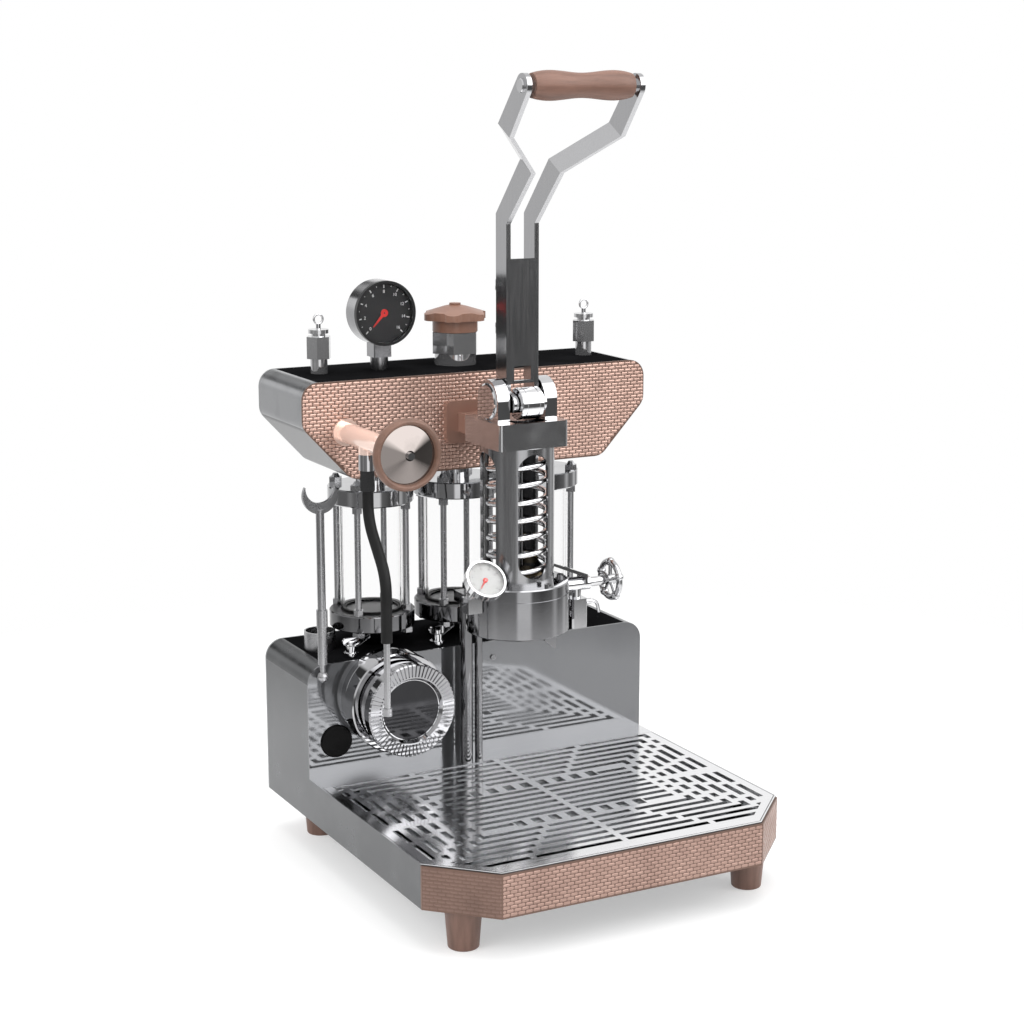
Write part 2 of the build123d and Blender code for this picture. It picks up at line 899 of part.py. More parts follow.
# Drain taps: body, and a pipe across to the riser of each column
tap_y = tower_front + tap_setback
tap_sites = [(x + tap_offset_x, tap_y) for x in column_xs]
with BuildPart() as tap_bodies:
    for x in column_xs:
        tap_x = x + tap_offset_x
        turn((tap_x, tap_y, tower_top), (0, 0, 1), [
            (0, 0),
            (tap_base_radius, 0),
            (tap_base_radius, tap_base_height),
            (tap_body_radius, tap_base_height),
            (tap_body_radius, tap_height),
            (0, tap_height),
        ])
        reach = Vector(x - tap_x, column_y - tap_y, 0)
        wall = reach.normalized() * riser_radius
        pipe_z = tower_top + tap_pipe_z
        tube_between((tap_x, tap_y, pipe_z), (x - wall.X, column_y - wall.Y, pipe_z), tap_pipe_radius)
tap_bodies.part.label = "tap_bodies"
export_step(tap_bodies.part, "parts/tap_bodies.step")

# Butterfly handle of each tap
tap_names = ("tap_handle_left", "tap_handle_middle", "tap_handle_right")
for (tap_x, _), tap_name in zip(tap_sites, tap_names):
    wing_z = tower_top + tap_height + clearance
    with BuildPart() as tap_handle:
        disc((tap_x, tap_y, wing_z), (0, 0, 1), wing_radius, wing_height / 2)
        with BuildSketch(front_plane(tap_y + wing_thickness / 2)):
            with Locations((tap_x, wing_z + wing_height / 2)):
                SlotOverall(wing_span, wing_height)
        extrude(amount=wing_thickness)
    tap_handle.part.label = tap_name
    export_step(tap_handle.part, f"parts/{tap_name}.step")

# Small open cup on the tower
cup_x = -half_width + cup_side_distance
cup_y = back_y - cup_back_distance
with BuildPart() as tower_cup:
    with BuildSketch(Plane.XY.offset(tower_top)):
        with Locations((cup_x, cup_y)):
            Circle(cup_radius)
    extrude(amount=cup_height)
    with BuildSketch(Plane.XY.offset(tower_top + cup_wall)):
        with Locations((cup_x, cup_y)):
            Circle(cup_radius - cup_wall)
    extrude(amount=cup_height, mode=Mode.SUBTRACT)
tower_cup.part.label = "tower_cup"
export_step(tower_cup.part, "parts/tower_cup.step")

# Fork post: crescent, stem, sleeve, tube and ball, pinned to the tower's front
fork_x = -half_width + fork_side_distance
fork_y = tower_front - fork_forward
fork_bottom_z = housing_bottom - fork_drop
fork_centre_z = fork_bottom_z + fork_outer_radius
fork_sleeve_z = tower_top + fork_sleeve_rise
fork_tube_z = tower_top + fork_tube_rise
fork_ball_z = tower_top - fork_ball_drop
with BuildPart() as fork_post:
    with BuildSketch(front_plane(fork_y + fork_thickness / 2)):
        with Locations((fork_x, fork_centre_z)):
            Circle(fork_outer_radius)
        with Locations((fork_x, fork_centre_z + fork_inner_rise)):
            Circle(fork_inner_radius, mode=Mode.SUBTRACT)
        with Locations((fork_x, fork_centre_z + fork_horn_rise + fork_outer_radius)):
            Rectangle(2 * fork_outer_radius + overrun, 2 * fork_outer_radius, mode=Mode.SUBTRACT)
    extrude(amount=fork_thickness)
    turn((fork_x, fork_y, 0), (0, 0, 1), [
        (0, fork_ball_z),
        (fork_neck_radius, fork_ball_z),
        (fork_neck_radius, fork_tube_z),
        (fork_tube_radius, fork_tube_z),
        (fork_tube_radius, fork_sleeve_z),
        (fork_sleeve_radius, fork_sleeve_z),
        (fork_sleeve_radius, fork_sleeve_z + fork_sleeve_height),
        (fork_stem_radius, fork_sleeve_z + fork_sleeve_height),
        (fork_stem_radius, fork_bottom_z + fork_stem_radius),
        (0, fork_bottom_z + fork_stem_radius),
    ])
    with Locations((fork_x, fork_y, fork_ball_z)):
        Sphere(fork_ball_radius)
    disc((fork_x, tower_front, fork_ball_z), (0, -1, 0), fork_pin_radius, tower_front - fork_y)
fork_post.part.label = "fork_post"
export_step(fork_post.part, "parts/fork_post.step")

# Group bell: socket and bayonet groove below, piston chamber above
socket_top_z = bell_bottom_z + socket_depth
bayonet_z = bell_bottom_z + bayonet_rise
with BuildPart() as bell:
    turn((0, group_y, 0), (0, 0, 1), [
        (socket_radius, bell_bottom_z),
        (bell_radius - bell_edge, bell_bottom_z),
        (bell_radius, bell_bottom_z + bell_edge),
        (bell_radius, bell_groove_z),
        (bell_radius - bell_groove_depth, bell_groove_z),
        (bell_radius - bell_groove_depth, bell_groove_z + bell_groove_width),
        (bell_radius, bell_groove_z + bell_groove_width),
        (bell_radius, bell_top_z - bell_edge),
        (bell_radius - bell_edge, bell_top_z),
        (chamber_radius, bell_top_z),
        (chamber_radius, socket_top_z),
        (socket_radius, socket_top_z),
        (socket_radius, bayonet_z + bayonet_height),
        (bayonet_radius, bayonet_z + bayonet_height),
        (bayonet_radius, bayonet_z),
        (socket_radius, bayonet_z),
    ])
    with BuildSketch(Plane.XY.offset(bell_bottom_z)):
        with Locations((0, group_y)):
            Circle(bayonet_radius)
            Rectangle(2 * bayonet_radius, bayonet_entry_width, mode=Mode.INTERSECT)
            Circle(socket_radius - overrun, mode=Mode.SUBTRACT)
    extrude(amount=bayonet_z - bell_bottom_z, mode=Mode.SUBTRACT)
    stop_ring = bell_radius - stop_width / 2
    stop_x = stop_ring * cos(radians(stop_angle))
    stop_y = group_y + stop_ring * sin(radians(stop_angle))
    stop_plane = Plane((stop_x, stop_y, bell_bottom_z), x_dir=(1, 0, 0), z_dir=(0, -1, 0))
    with BuildSketch(stop_plane):
        with BuildLine():
            Polyline(
                (-stop_width / 2, stop_thickness),
                (stop_width / 2, stop_thickness),
                (stop_width / 2, -stop_drop),
                (-stop_width / 2, -stop_thickness),
                close=True,
            )
        make_face()
    extrude(amount=stop_thickness / 2, both=True)
bell.part.label = "bell"
export_step(bell.part, "parts/bell.step")

# Spring cylinder with four arched windows
window_height = cylinder_top_z - window_top_gap - chamber_top_z
with BuildPart() as spring_cylinder:
    turn((0, group_y, 0), (0, 0, 1), [
        (chamber_radius, bell_top_z),
        (cylinder_radius, bell_top_z),
        (cylinder_radius, cylinder_top_z),
        (cylinder_bore, cylinder_top_z),
        (cylinder_bore, chamber_top_z),
        (chamber_radius, chamber_top_z),
    ])
    window_z = chamber_top_z + window_height / 2
    with BuildSketch(front_plane(group_y)):
        with Locations((0, window_z)):
            SlotOverall(window_height, window_width, rotation=90)
    extrude(amount=cylinder_radius + overrun, both=True, mode=Mode.SUBTRACT)
    with BuildSketch(side_plane(0)):
        with Locations((group_y, window_z)):
            SlotOverall(window_height, window_width, rotation=90)
    extrude(amount=cylinder_radius + overrun, both=True, mode=Mode.SUBTRACT)
spring_cylinder.part.label = "spring_cylinder"
export_step(spring_cylinder.part, "parts/spring_cylinder.step")

# Head plate with the roller's track, and the arm that carries it from the upper housing
arm_z = cylinder_top_z + head_thickness / 2
with BuildPart() as group_head:
    with BuildSketch(Plane.XY.offset(cylinder_top_z)) as head:
        with Locations((0, group_y + (head_back - head_front) / 2)):
            Rectangle(head_width, head_front + head_back)
        fillet(head.vertices(), head_edge)
    extrude(amount=head_thickness)
    with BuildSketch(Plane.XY.offset(cylinder_top_z)) as track:
        with Locations((0, group_y + (track_back - track_front) / 2)):
            Rectangle(2 * track_half_width, track_front + track_back)
        fillet(track.vertices(), track_corner)
    extrude(amount=head_thickness, mode=Mode.SUBTRACT)
    with BuildSketch(front_plane(tower_front)):
        with Locations((0, arm_z)):
            Rectangle(arm_width, arm_height)
    extrude(amount=group_reach - head_back)
    with BuildSketch(front_plane(tower_front)) as wall_flange:
        with Locations((0, arm_z)):
            Rectangle(wall_flange_width, wall_flange_height)
        fillet(wall_flange.vertices(), wall_flange_corner)
    extrude(amount=wall_flange_thickness)
group_head.part.label = "group_head"
export_step(group_head.part, "parts/group_head.step")

# Two round-topped cheeks that hold the lever's pivot
with BuildPart() as cheeks:
    for side in (-1, 1):
        inner_x = side * cheek_gap / 2
        with BuildSketch(side_plane(inner_x)):
            with Locations((group_y, pivot_z)):
                Circle(cheek_radius)
            with Locations((group_y, (head_top_z + pivot_z) / 2)):
                Rectangle(2 * cheek_radius, pivot_z - head_top_z)
            with Locations((group_y, head_top_z - cheek_radius)):
                Rectangle(2 * cheek_radius, 2 * cheek_radius, mode=Mode.SUBTRACT)
            with Locations((group_y, pivot_z)):
                Circle(pivot_radius, mode=Mode.SUBTRACT)
        extrude(amount=side * cheek_thickness)
cheeks.part.label = "cheeks"
export_step(cheeks.part, "parts/cheeks.step")

# Two pivot studs with broad round heads
cheek_outer_x = cheek_gap / 2 + cheek_thickness
with BuildPart() as pivot_studs:
    for side in (-1, 1):
        turn((side * pivot_inner_x, group_y, pivot_z), (side, 0, 0), [
            (0, 0),
            (pivot_radius, 0),
            (pivot_radius, cheek_outer_x - pivot_inner_x),
            (pivot_head_radius, cheek_outer_x - pivot_inner_x),
            (pivot_head_radius, cheek_outer_x - pivot_inner_x + pivot_head_thickness / 2),
            (pivot_head_radius - pivot_head_thickness, cheek_outer_x - pivot_inner_x + pivot_head_thickness),
            (0, cheek_outer_x - pivot_inner_x + pivot_head_thickness),
        ])
pivot_studs.part.label = "pivot_studs"
export_step(pivot_studs.part, "parts/pivot_studs.step")

# Shower screen under the chamber
screen_top_z = socket_top_z - clearance
with BuildPart() as shower_screen:
    with BuildSketch(Plane.XY.offset(screen_top_z - screen_thickness)):
        with Locations((0, group_y)):
            Circle(screen_radius)
            with PolarLocations(screen_hole_reach, screen_hole_count):
                Circle(screen_hole_radius, mode=Mode.SUBTRACT)
    extrude(amount=screen_thickness)
shower_screen.part.label = "shower_screen"
export_step(shower_screen.part, "parts/shower_screen.step")

# Piston with two seals
piston_bottom_z = bell_top_z - piston_drop
piston_top_z = piston_bottom_z + piston_thickness
seal_zs = [piston_bottom_z + piston_thickness / 2 + way * seal_spacing / 2 for way in (-1, 1)]
piston_outline = [(0, piston_bottom_z), (piston_radius, piston_bottom_z)]
for z in seal_zs:
    piston_outline += [
        (piston_radius, z - seal_width / 2),
        (piston_radius - seal_depth, z - seal_width / 2),
        (piston_radius - seal_depth, z + seal_width / 2),
        (piston_radius, z + seal_width / 2),
    ]
piston_outline += [(piston_radius, piston_top_z), (0, piston_top_z)]
with BuildPart() as piston:
    turn((0, group_y, 0), (0, 0, 1), piston_outline)
piston.part.label = "piston"
export_step(piston.part, "parts/piston.step")

with BuildPart() as piston_seals:
    for z in seal_zs:
        with BuildSketch(Plane.XY.offset(z - seal_width / 2)):
            with Locations((0, group_y)):
                Circle(chamber_radius - running_gap)
                Circle(piston_radius - seal_depth, mode=Mode.SUBTRACT)
        extrude(amount=seal_width)
piston_seals.part.label = "piston_seals"
export_step(piston_seals.part, "parts/piston_seals.step")

# Rod, spring cap and the button that the roller presses
cap_bottom_z = cylinder_top_z - cap_drop
cap_top_z = cap_bottom_z + cap_thickness
button_top_z = head_top_z - button_sink
with BuildPart() as spring_rod:
    turn((0, group_y, 0), (0, 0, 1), [
        (0, piston_top_z),
        (rod_diameter / 2, piston_top_z),
        (rod_diameter / 2, cap_bottom_z),
        (cylinder_bore - cap_gap, cap_bottom_z),
        (cylinder_bore - cap_gap, cap_top_z),
        (button_radius, cap_top_z),
        (button_radius, button_top_z),
        (0, button_top_z),
    ])
spring_rod.part.label = "spring_rod"
export_step(spring_rod.part, "parts/spring_rod.step")

# Coil spring: one wire along biarcs of a quarter turn
spring_bottom_z = chamber_top_z + spring_wire / 2 + clearance
spring_top_z = cap_bottom_z - spring_wire / 2 - clearance
spring_pitch = (spring_top_z - spring_bottom_z) / spring_turns


def spring_point(turn_angle):
    """Point and direction of the spring's wire at an angle from its start."""
    spot = radians(spring_start_angle + turn_angle)
    rise = spring_pitch / (2 * pi)
    place = Vector(
        spring_mean_radius * cos(spot),
        group_y + spring_mean_radius * sin(spot),
        spring_bottom_z + rise * radians(turn_angle),
    )
    way = Vector(-spring_mean_radius * sin(spot), spring_mean_radius * cos(spot), rise)
    return place, way.normalized()


def biarc_joint(start, start_way, end, end_way):
    """Point and direction where two tangent arcs from start to end meet."""
    chord = end - start
    ways = start_way + end_way
    a = ways.dot(ways) - 4
    b = chord.dot(ways)
    c = chord.dot(chord)
    reach = (b - sqrt(b * b - a * c)) / a
    leave = start + start_way * reach
    arrive = end - end_way * reach
    return (leave + arrive) * (1 / 2), (arrive - leave).normalized()


wire_stops = [quarter_turn * step for step in range(int(spring_turns * 4) + 1)]
with BuildPart() as spring:
    with BuildLine() as wire_path:
        for low, high in zip(wire_stops, wire_stops[1:]):
            low_place, low_way = spring_point(low)
            high_place, high_way = spring_point(high)
            joint, joint_way = biarc_joint(low_place, low_way, high_place, high_way)
            TangentArc(low_place, joint, tangent=low_way)
            TangentArc(joint, high_place, tangent=joint_way)
    first_place, first_way = spring_point(0)
    with BuildSketch(Plane(first_place, z_dir=first_way)):
        Circle(spring_wire / 2)
    sweep(path=wire_path.wires()[0])
spring.part.label = "spring"
export_step(spring.part, "parts/spring.step")

# Least gap of the wire to itself, from points half a turn or more apart
wire_samples = [spring_point(quarter_turn * step / 4)[0] for step in range(int(spring_turns * 16) + 1)]
wire_gap = min(
    (wire_samples[high] - wire_samples[low]).length
    for low in range(len(wire_samples))
    for high in range(low + 8, len(wire_samples))
) - spring_wire
print(f"spring wire least gap to itself {wire_gap:.2f} mm")

# Lever arms
arm_front_y = group_y - arm_depth / 2
arm_back_y = group_y + arm_depth / 2
arm_bend_z = pivot_z + arm_straight
arm_fold_y = group_y - arm_fold_reach
arm_fold_z = arm_bend_z + arm_front_y - arm_fold_y
arm_edge_shift = arm_depth * tan(radians(45 / 2))
fold_front = Vector(arm_fold_y, arm_fold_z)
fold_back = Vector(arm_fold_y + arm_fold_depth, arm_fold_z + arm_fold_rise)
spread_front = fold_front + Vector(arm_spread_y, arm_spread_z)
spread_back = fold_back + Vector(arm_spread_y, arm_spread_z)
grip_y = group_y - grip_reach
grip_z = arm_bend_z + grip_rise
grip_centre = Vector(grip_y, grip_z)
roller_y = group_y - roller_reach
roller_z = pivot_z - roller_drop
web_bottom_z = pivot_z + web_rise
web_top_z = arm_bend_z - web_end_gap
web_window_z = web_bottom_z + web_window_gap + web_window_height / 2


def yz(point):
    """A pair of sketch coordinates from a vector."""
    return (point.X, point.Y)


with BuildPart() as lever_fork:
    for side in (-1, 1):
        with BuildSketch(side_plane(side * arm_inner_x)):
            with BuildLine():
                Polyline(
                    (arm_back_y, pivot_z),
                    (arm_back_y, arm_bend_z + arm_edge_shift),
                    yz(fold_back),
                    yz(fold_front),
                    (arm_front_y, arm_bend_z),
                    (arm_front_y, pivot_z),
                    close=True,
                )
            make_face()
            with BuildSketch(mode=Mode.PRIVATE) as boss:
                with Locations((group_y, pivot_z)):
                    Circle(arm_nose_radius)
                with Locations((roller_y, roller_z)):
                    Circle(roller_boss_radius)
                make_hull()
            add(boss.sketch)
            with Locations((group_y, pivot_z)):
                Circle(pivot_radius + running_gap, mode=Mode.SUBTRACT)
            with Locations((roller_y, roller_z)):
                Circle(axle_radius, mode=Mode.SUBTRACT)
        extrude(amount=side * arm_thickness)
        fold_corner = Vector(side * arm_inner_x, fold_front.X, fold_front.Y)
        fold_way = Vector(0, arm_fold_depth, arm_fold_rise)
        fold_plane = Plane(fold_corner, x_dir=fold_way, z_dir=fold_way.cross(Vector(side, 0, 0)))
        spread = Vector(side * arm_spread, arm_spread_y, arm_spread_z)
        with BuildSketch(fold_plane):
            Rectangle(fold_way.length, arm_thickness, align=(Align.MIN, Align.MIN))
        extrude(amount=spread.length, dir=spread.normalized())
        with BuildSketch(side_plane(side * (arm_inner_x + arm_spread))):
            with BuildLine():
                Line(yz(spread_front), yz(spread_back))
            with Locations(yz(grip_centre)):
                Circle(arm_end_radius)
            make_hull()
            with Locations(yz(grip_centre)):
                Circle(grip_bolt_radius, mode=Mode.SUBTRACT)
        extrude(amount=side * arm_thickness)
    with BuildSketch(front_plane(arm_front_y + web_thickness)):
        with Locations((0, (web_bottom_z + web_top_z) / 2)):
            Rectangle(arm_gap, web_top_z - web_bottom_z)
        with Locations((0, web_window_z)):
            Rectangle(web_window_width, web_window_height, mode=Mode.SUBTRACT)
    extrude(amount=web_thickness)
lever_fork.part.label = "lever_fork"
export_step(lever_fork.part, "parts/lever_fork.step")

# Roller with two shallow grooves
roller_groove_stops = [roller_width * share for share in roller_groove_shares]
roller_outline = [(axle_radius + running_gap, 0), (roller_radius - roller_edge, 0), (roller_radius, roller_edge)]
for stop in roller_groove_stops:
    roller_outline += [
        (roller_radius, stop - roller_groove_width / 2),
        (roller_radius - roller_groove_depth, stop - roller_groove_width / 2),
        (roller_radius - roller_groove_depth, stop + roller_groove_width / 2),
        (roller_radius, stop + roller_groove_width / 2),
    ]
roller_outline += [
    (roller_radius, roller_width - roller_edge),
    (roller_radius - roller_edge, roller_width),
    (axle_radius + running_gap, roller_width),
]
with BuildPart() as lever_roller:
    turn((-roller_width / 2, roller_y, roller_z), (1, 0, 0), roller_outline)
lever_roller.part.label = "lever_roller"
export_step(lever_roller.part, "parts/lever_roller.step")

# Roller axle and the bolt through the grip, with its heads and washers
grip_arm_x = arm_inner_x + arm_spread
grip_outer_x = grip_arm_x + arm_thickness
with BuildPart() as lever_pins:
    tube_between((-arm_outer_x, roller_y, roller_z), (arm_outer_x, roller_y, roller_z), axle_radius)
    for side in (-1, 1):
        turn((0, grip_y, grip_z), (side, 0, 0), [
            (0, 0),
            (grip_bolt_radius, 0),
            (grip_bolt_radius, grip_length / 2),
            (grip_bolt_head_radius, grip_length / 2),
            (grip_bolt_head_radius, grip_arm_x),
            (grip_bolt_radius, grip_arm_x),
            (grip_bolt_radius, grip_outer_x),
            (grip_bolt_head_radius, grip_outer_x),
            (grip_bolt_head_radius, grip_outer_x + grip_bolt_head - grip_bolt_edge),
            (grip_bolt_head_radius - grip_bolt_edge, grip_outer_x + grip_bolt_head),
            (0, grip_outer_x + grip_bolt_head),
        ])
lever_pins.part.label = "lever_pins"
export_step(lever_pins.part, "parts/lever_pins.step")

# Turned wooden grip
with BuildPart() as lever_grip:
    with BuildSketch(Plane((0, grip_y, grip_z), x_dir=(1, 0, 0), z_dir=(0, -1, 0))):
        with BuildLine():
            Spline(
                (-grip_length / 2, grip_end_radius),
                (-grip_length / 2 + grip_bulge_inset, grip_bulge_radius),
                (0, grip_waist_radius),
                (grip_length / 2 - grip_bulge_inset, grip_bulge_radius),
                (grip_length / 2, grip_end_radius),
            )
            Polyline(
                (grip_length / 2, grip_end_radius),
                (grip_length / 2, grip_bolt_radius),
                (-grip_length / 2, grip_bolt_radius),
                (-grip_length / 2, grip_end_radius),
            )
        make_face()
    revolve(axis=Axis((0, grip_y, grip_z), (1, 0, 0)))
lever_grip.part.label = "lever_grip"
export_step(lever_grip.part, "parts/lever_grip.step")

# Two posts behind the cup space, tied to the bell by a block
post_y = tower_front - post_forward
drain_y = tower_front - drain_forward
bracket_z = bell_bottom_z + bracket_rise
bracket_front_y = group_y + bracket_back
with BuildPart() as support_posts:
    tube_between((post_x, post_y, tray_top), (post_x, post_y, bracket_z + bracket_height), post_radius)
    tube_between((drain_x, drain_y, tray_top), (drain_x, drain_y, bracket_z + bracket_height), drain_radius)
    bracket_left = post_x - post_radius - bracket_margin
    bracket_right = drain_x + drain_radius + bracket_margin
    bracket_end_y = post_y + post_radius + bracket_margin
    with BuildSketch(Plane.XY.offset(bracket_z)):
        with Locations(((bracket_left + bracket_right) / 2, (bracket_front_y + bracket_end_y) / 2)):
            Rectangle(bracket_right - bracket_left, bracket_end_y - bracket_front_y)
    extrude(amount=bracket_height)
    disc((0, group_y, bell_bottom_z), (0, 0, 1), bell_radius, bell_height, Mode.SUBTRACT)
support_posts.part.label = "support_posts"
export_step(support_posts.part, "parts/support_posts.step")


def gauge_case_outline(radius, depth, bezel, recess, taper):
    """Half section of a gauge case: front rim, dial recess and tapered back."""
    return [
        (0, -recess),
        (radius - bezel, -recess),
        (radius - bezel, 0),
        (radius, 0),
        (radius, -depth + taper),
        (radius - taper, -depth),
        (0, -depth),
    ]


# Gauges: the large one above the housing and the small one beside the bell
small_tilt = radians(small_gauge_tilt)
small_way = Vector(0, -cos(small_tilt), sin(small_tilt))
gauge_front_y = back_y - gauge_back_distance
gauge_block_y = gauge_front_y + gauge_block_setback
gauge_z = housing_top + gauge_rise
gauge_block_z = housing_top + gauge_block_rise
gauge_face = Vector(gauge_x, gauge_front_y, gauge_z)
gauge_way = Vector(0, -1, 0)
small_face = Vector(small_gauge_x, group_y - small_gauge_forward, bell_top_z + small_gauge_rise)
with BuildPart() as gauge_case:
    turn(gauge_face, gauge_way, gauge_case_outline(
        gauge_radius, gauge_depth, gauge_bezel, gauge_recess, gauge_back_taper))
    disc((gauge_x, gauge_block_y, housing_top), (0, 0, 1), gauge_pipe_radius, gauge_block_rise)
    with BuildSketch(Plane.XY.offset(gauge_block_z)) as block:
        with Locations((gauge_x, gauge_block_y)):
            Rectangle(gauge_block, gauge_block)
        chamfer(block.vertices(), gauge_block_edge)
    extrude(amount=gauge_z - gauge_radius - gauge_block_z + gauge_block_entry)
gauge_case.part.label = "gauge_case"
export_step(gauge_case.part, "parts/gauge_case.step")

with BuildPart() as small_gauge_case:
    turn(small_face, small_way, gauge_case_outline(
        small_gauge_radius, small_gauge_depth, small_gauge_bezel, small_gauge_recess, small_gauge_taper))
    stem_start = small_face - small_way * (small_gauge_depth - small_gauge_bezel)
    stem_end = small_face - small_way * (small_gauge_depth + small_gauge_stem_length)
    tube_between(stem_start, stem_end, small_gauge_stem_radius)
    with BuildSketch(Plane.XY.offset(bell_top_z - gauge_boss_drop - gauge_boss_size / 2)):
        with Locations((small_gauge_x + gauge_boss_shift, group_y - gauge_boss_forward)):
            Rectangle(gauge_boss_size, gauge_boss_size)
    extrude(amount=gauge_boss_size)
    disc((0, group_y, bell_bottom_z), (0, 0, 1), bell_radius, bell_height, Mode.SUBTRACT)
small_gauge_case.part.label = "small_gauge_case"
export_step(small_gauge_case.part, "parts/small_gauge_case.step")

# Dials with a post for the pointer
gauge_set = (
    (gauge_face, gauge_way, gauge_radius - gauge_bezel, gauge_recess),
    (small_face, small_way, small_gauge_radius - small_gauge_bezel, small_gauge_recess),
)
pointer_lift = dial_thickness + clearance
with BuildPart() as gauge_dials:
    for face, way, radius, recess in gauge_set:
        turn(face - way * recess, way, [
            (0, 0),
            (radius, 0),
            (radius, dial_thickness),
            (pointer_post_radius, dial_thickness),
            (pointer_post_radius, pointer_lift + pointer_thickness),
            (0, pointer_lift + pointer_thickness),
        ])
gauge_dials.part.label = "gauge_dials"
export_step(gauge_dials.part, "parts/gauge_dials.step")

# Glass: three column tubes and the covers of both gauges
with BuildPart() as glasses:
    with BuildSketch(Plane.XY.offset(lower_flange_top + gasket_thickness)):
        with Locations(*column_sites):
            Circle(glass_radius)
            Circle(glass_radius - glass_wall, mode=Mode.SUBTRACT)
    extrude(amount=upper_flange_z - lower_flange_top - 2 * gasket_thickness)
    for face, way, radius, recess in gauge_set:
        disc(face - way * (gauge_glass_thickness + clearance), way, radius, gauge_glass_thickness)
glasses.part.label = "glasses"
export_step(glasses.part, "parts/glasses.step")

# Pointers: slim needles with a tail and a hub, drawn at rest towards the lower left
for (face, way, radius, recess), pointer_name in zip(gauge_set, ("gauge_pointer", "small_gauge_pointer")):
    dial_plane = Plane(face - way * (recess - pointer_lift), x_dir=(1, 0, 0), z_dir=way)
    needle_angle = radians(pointer_rest_angle)
    needle_way = dial_plane.x_dir * cos(needle_angle) + dial_plane.y_dir * sin(needle_angle)
    with BuildPart() as pointer:
        with BuildSketch(Plane(dial_plane.origin, x_dir=needle_way, z_dir=way)):
            with BuildLine():
                Polyline(
                    (-radius * pointer_tail_share, radius * pointer_tail_width_share),
                    (radius * pointer_share, radius * pointer_tip_width_share),
                    (radius * pointer_share, -radius * pointer_tip_width_share),
                    (-radius * pointer_tail_share, -radius * pointer_tail_width_share),
                    close=True,
                )
            make_face()
            Circle(radius * pointer_hub_share)
            Circle(pointer_post_radius + running_gap, mode=Mode.SUBTRACT)
        extrude(amount=pointer_thickness)
    pointer.part.label = pointer_name
    export_step(pointer.part, f"parts/{pointer_name}.step")

# Fill neck: tube and hexagon collar with a bore
fill_collar_z = housing_top + fill_tube_height
with BuildPart() as fill_neck:
    with BuildSketch(Plane.XY.offset(housing_top)):
        with Locations((fill_x, fitting_y)):
            Circle(fill_tube_radius)
    extrude(amount=fill_tube_height)
    with BuildSketch(Plane.XY.offset(fill_collar_z)):
        with Locations((fill_x, fitting_y)):
            RegularPolygon(fill_collar_radius, 6)
    extrude(amount=fill_collar_height)
    disc((fill_x, fitting_y, housing_top + fill_bore_floor), (0, 0, 1), fill_bore_radius,
         fill_tube_height + fill_collar_height, Mode.SUBTRACT)
fill_neck.part.label = "fill_neck"
export_step(fill_neck.part, "parts/fill_neck.step")

# Lobed and domed fill cap with its ring and its plug
cap_ring_z = fill_collar_z + fill_collar_height + clearance
cap_knob_z = cap_ring_z + cap_ring_height
cap_reach = cap_lobe_reach + cap_lobe_radius + overrun
cap_top_z = cap_knob_z + cap_dome_height
with BuildPart() as fill_cap:
    with BuildSketch(Plane.XY.offset(cap_knob_z)) as knob:
        with Locations((fill_x, fitting_y)):
            Circle(cap_core_radius)
            with PolarLocations(cap_lobe_reach, cap_lobe_count):
                Circle(cap_lobe_radius)
        fillet(knob.vertices(), cap_lobe_fillet)
    extrude(amount=cap_dome_height)
    turn((fill_x, fitting_y, 0), (0, 0, 1), [
        (0, cap_knob_z),
        (cap_reach - cap_rim_round, cap_knob_z),
        (cap_reach, cap_knob_z + cap_rim_round),
        (cap_reach, cap_knob_z + cap_rim_height),
        (cap_core_radius, cap_knob_z + cap_rim_height + cap_rim_round),
        (2 * cap_button_radius, cap_top_z - cap_rim_round / 2),
        (cap_button_radius, cap_top_z),
        (0, cap_top_z),
    ], Mode.INTERSECT)
    disc((fill_x, fitting_y, cap_top_z), (0, 0, 1), cap_button_radius, cap_button_height)
    disc((fill_x, fitting_y, cap_ring_z), (0, 0, 1), cap_ring_radius, cap_ring_height)
    disc((fill_x, fitting_y, cap_ring_z - cap_plug_length), (0, 0, 1), fill_bore_radius - cap_plug_gap,
         cap_plug_length)
fill_cap.part.label = "fill_cap"
export_step(fill_cap.part, "parts/fill_cap.step")

# Safety valves: pipe, hexagon, neck and flange, bored for the stem of the pull ring
safety_hex_z = housing_top + safety_pipe_height
safety_neck_z = safety_hex_z + safety_hex_height
safety_flange_z = safety_neck_z + safety_neck_height
safety_top_z = safety_flange_z + safety_flange_height
safety_xs = (-half_width + safety_left_distance, half_width - safety_right_distance)
safety_sites = [(x, fitting_y) for x in safety_xs]
with BuildPart() as safety_valves:
    for radius, low, high in (
        (safety_pipe_radius, housing_top, safety_hex_z),
        (safety_neck_radius, safety_neck_z, safety_flange_z),
        (safety_flange_radius, safety_flange_z, safety_top_z),
    ):
        with BuildSketch(Plane.XY.offset(low)):
            with Locations(*safety_sites):
                Circle(radius)
        extrude(amount=high - low)
    with BuildSketch(Plane.XY.offset(safety_hex_z)):
        with Locations(*safety_sites):
            RegularPolygon(safety_hex_radius, 6)
    extrude(amount=safety_hex_height)
    with BuildSketch(Plane.XY.offset(safety_hex_z)):
        with Locations(*safety_sites):
            Circle(safety_stem_radius + running_gap)
    extrude(amount=safety_top_z - safety_hex_z, mode=Mode.SUBTRACT)
safety_valves.part.label = "safety_valves"
export_step(safety_valves.part, "parts/safety_valves.step")

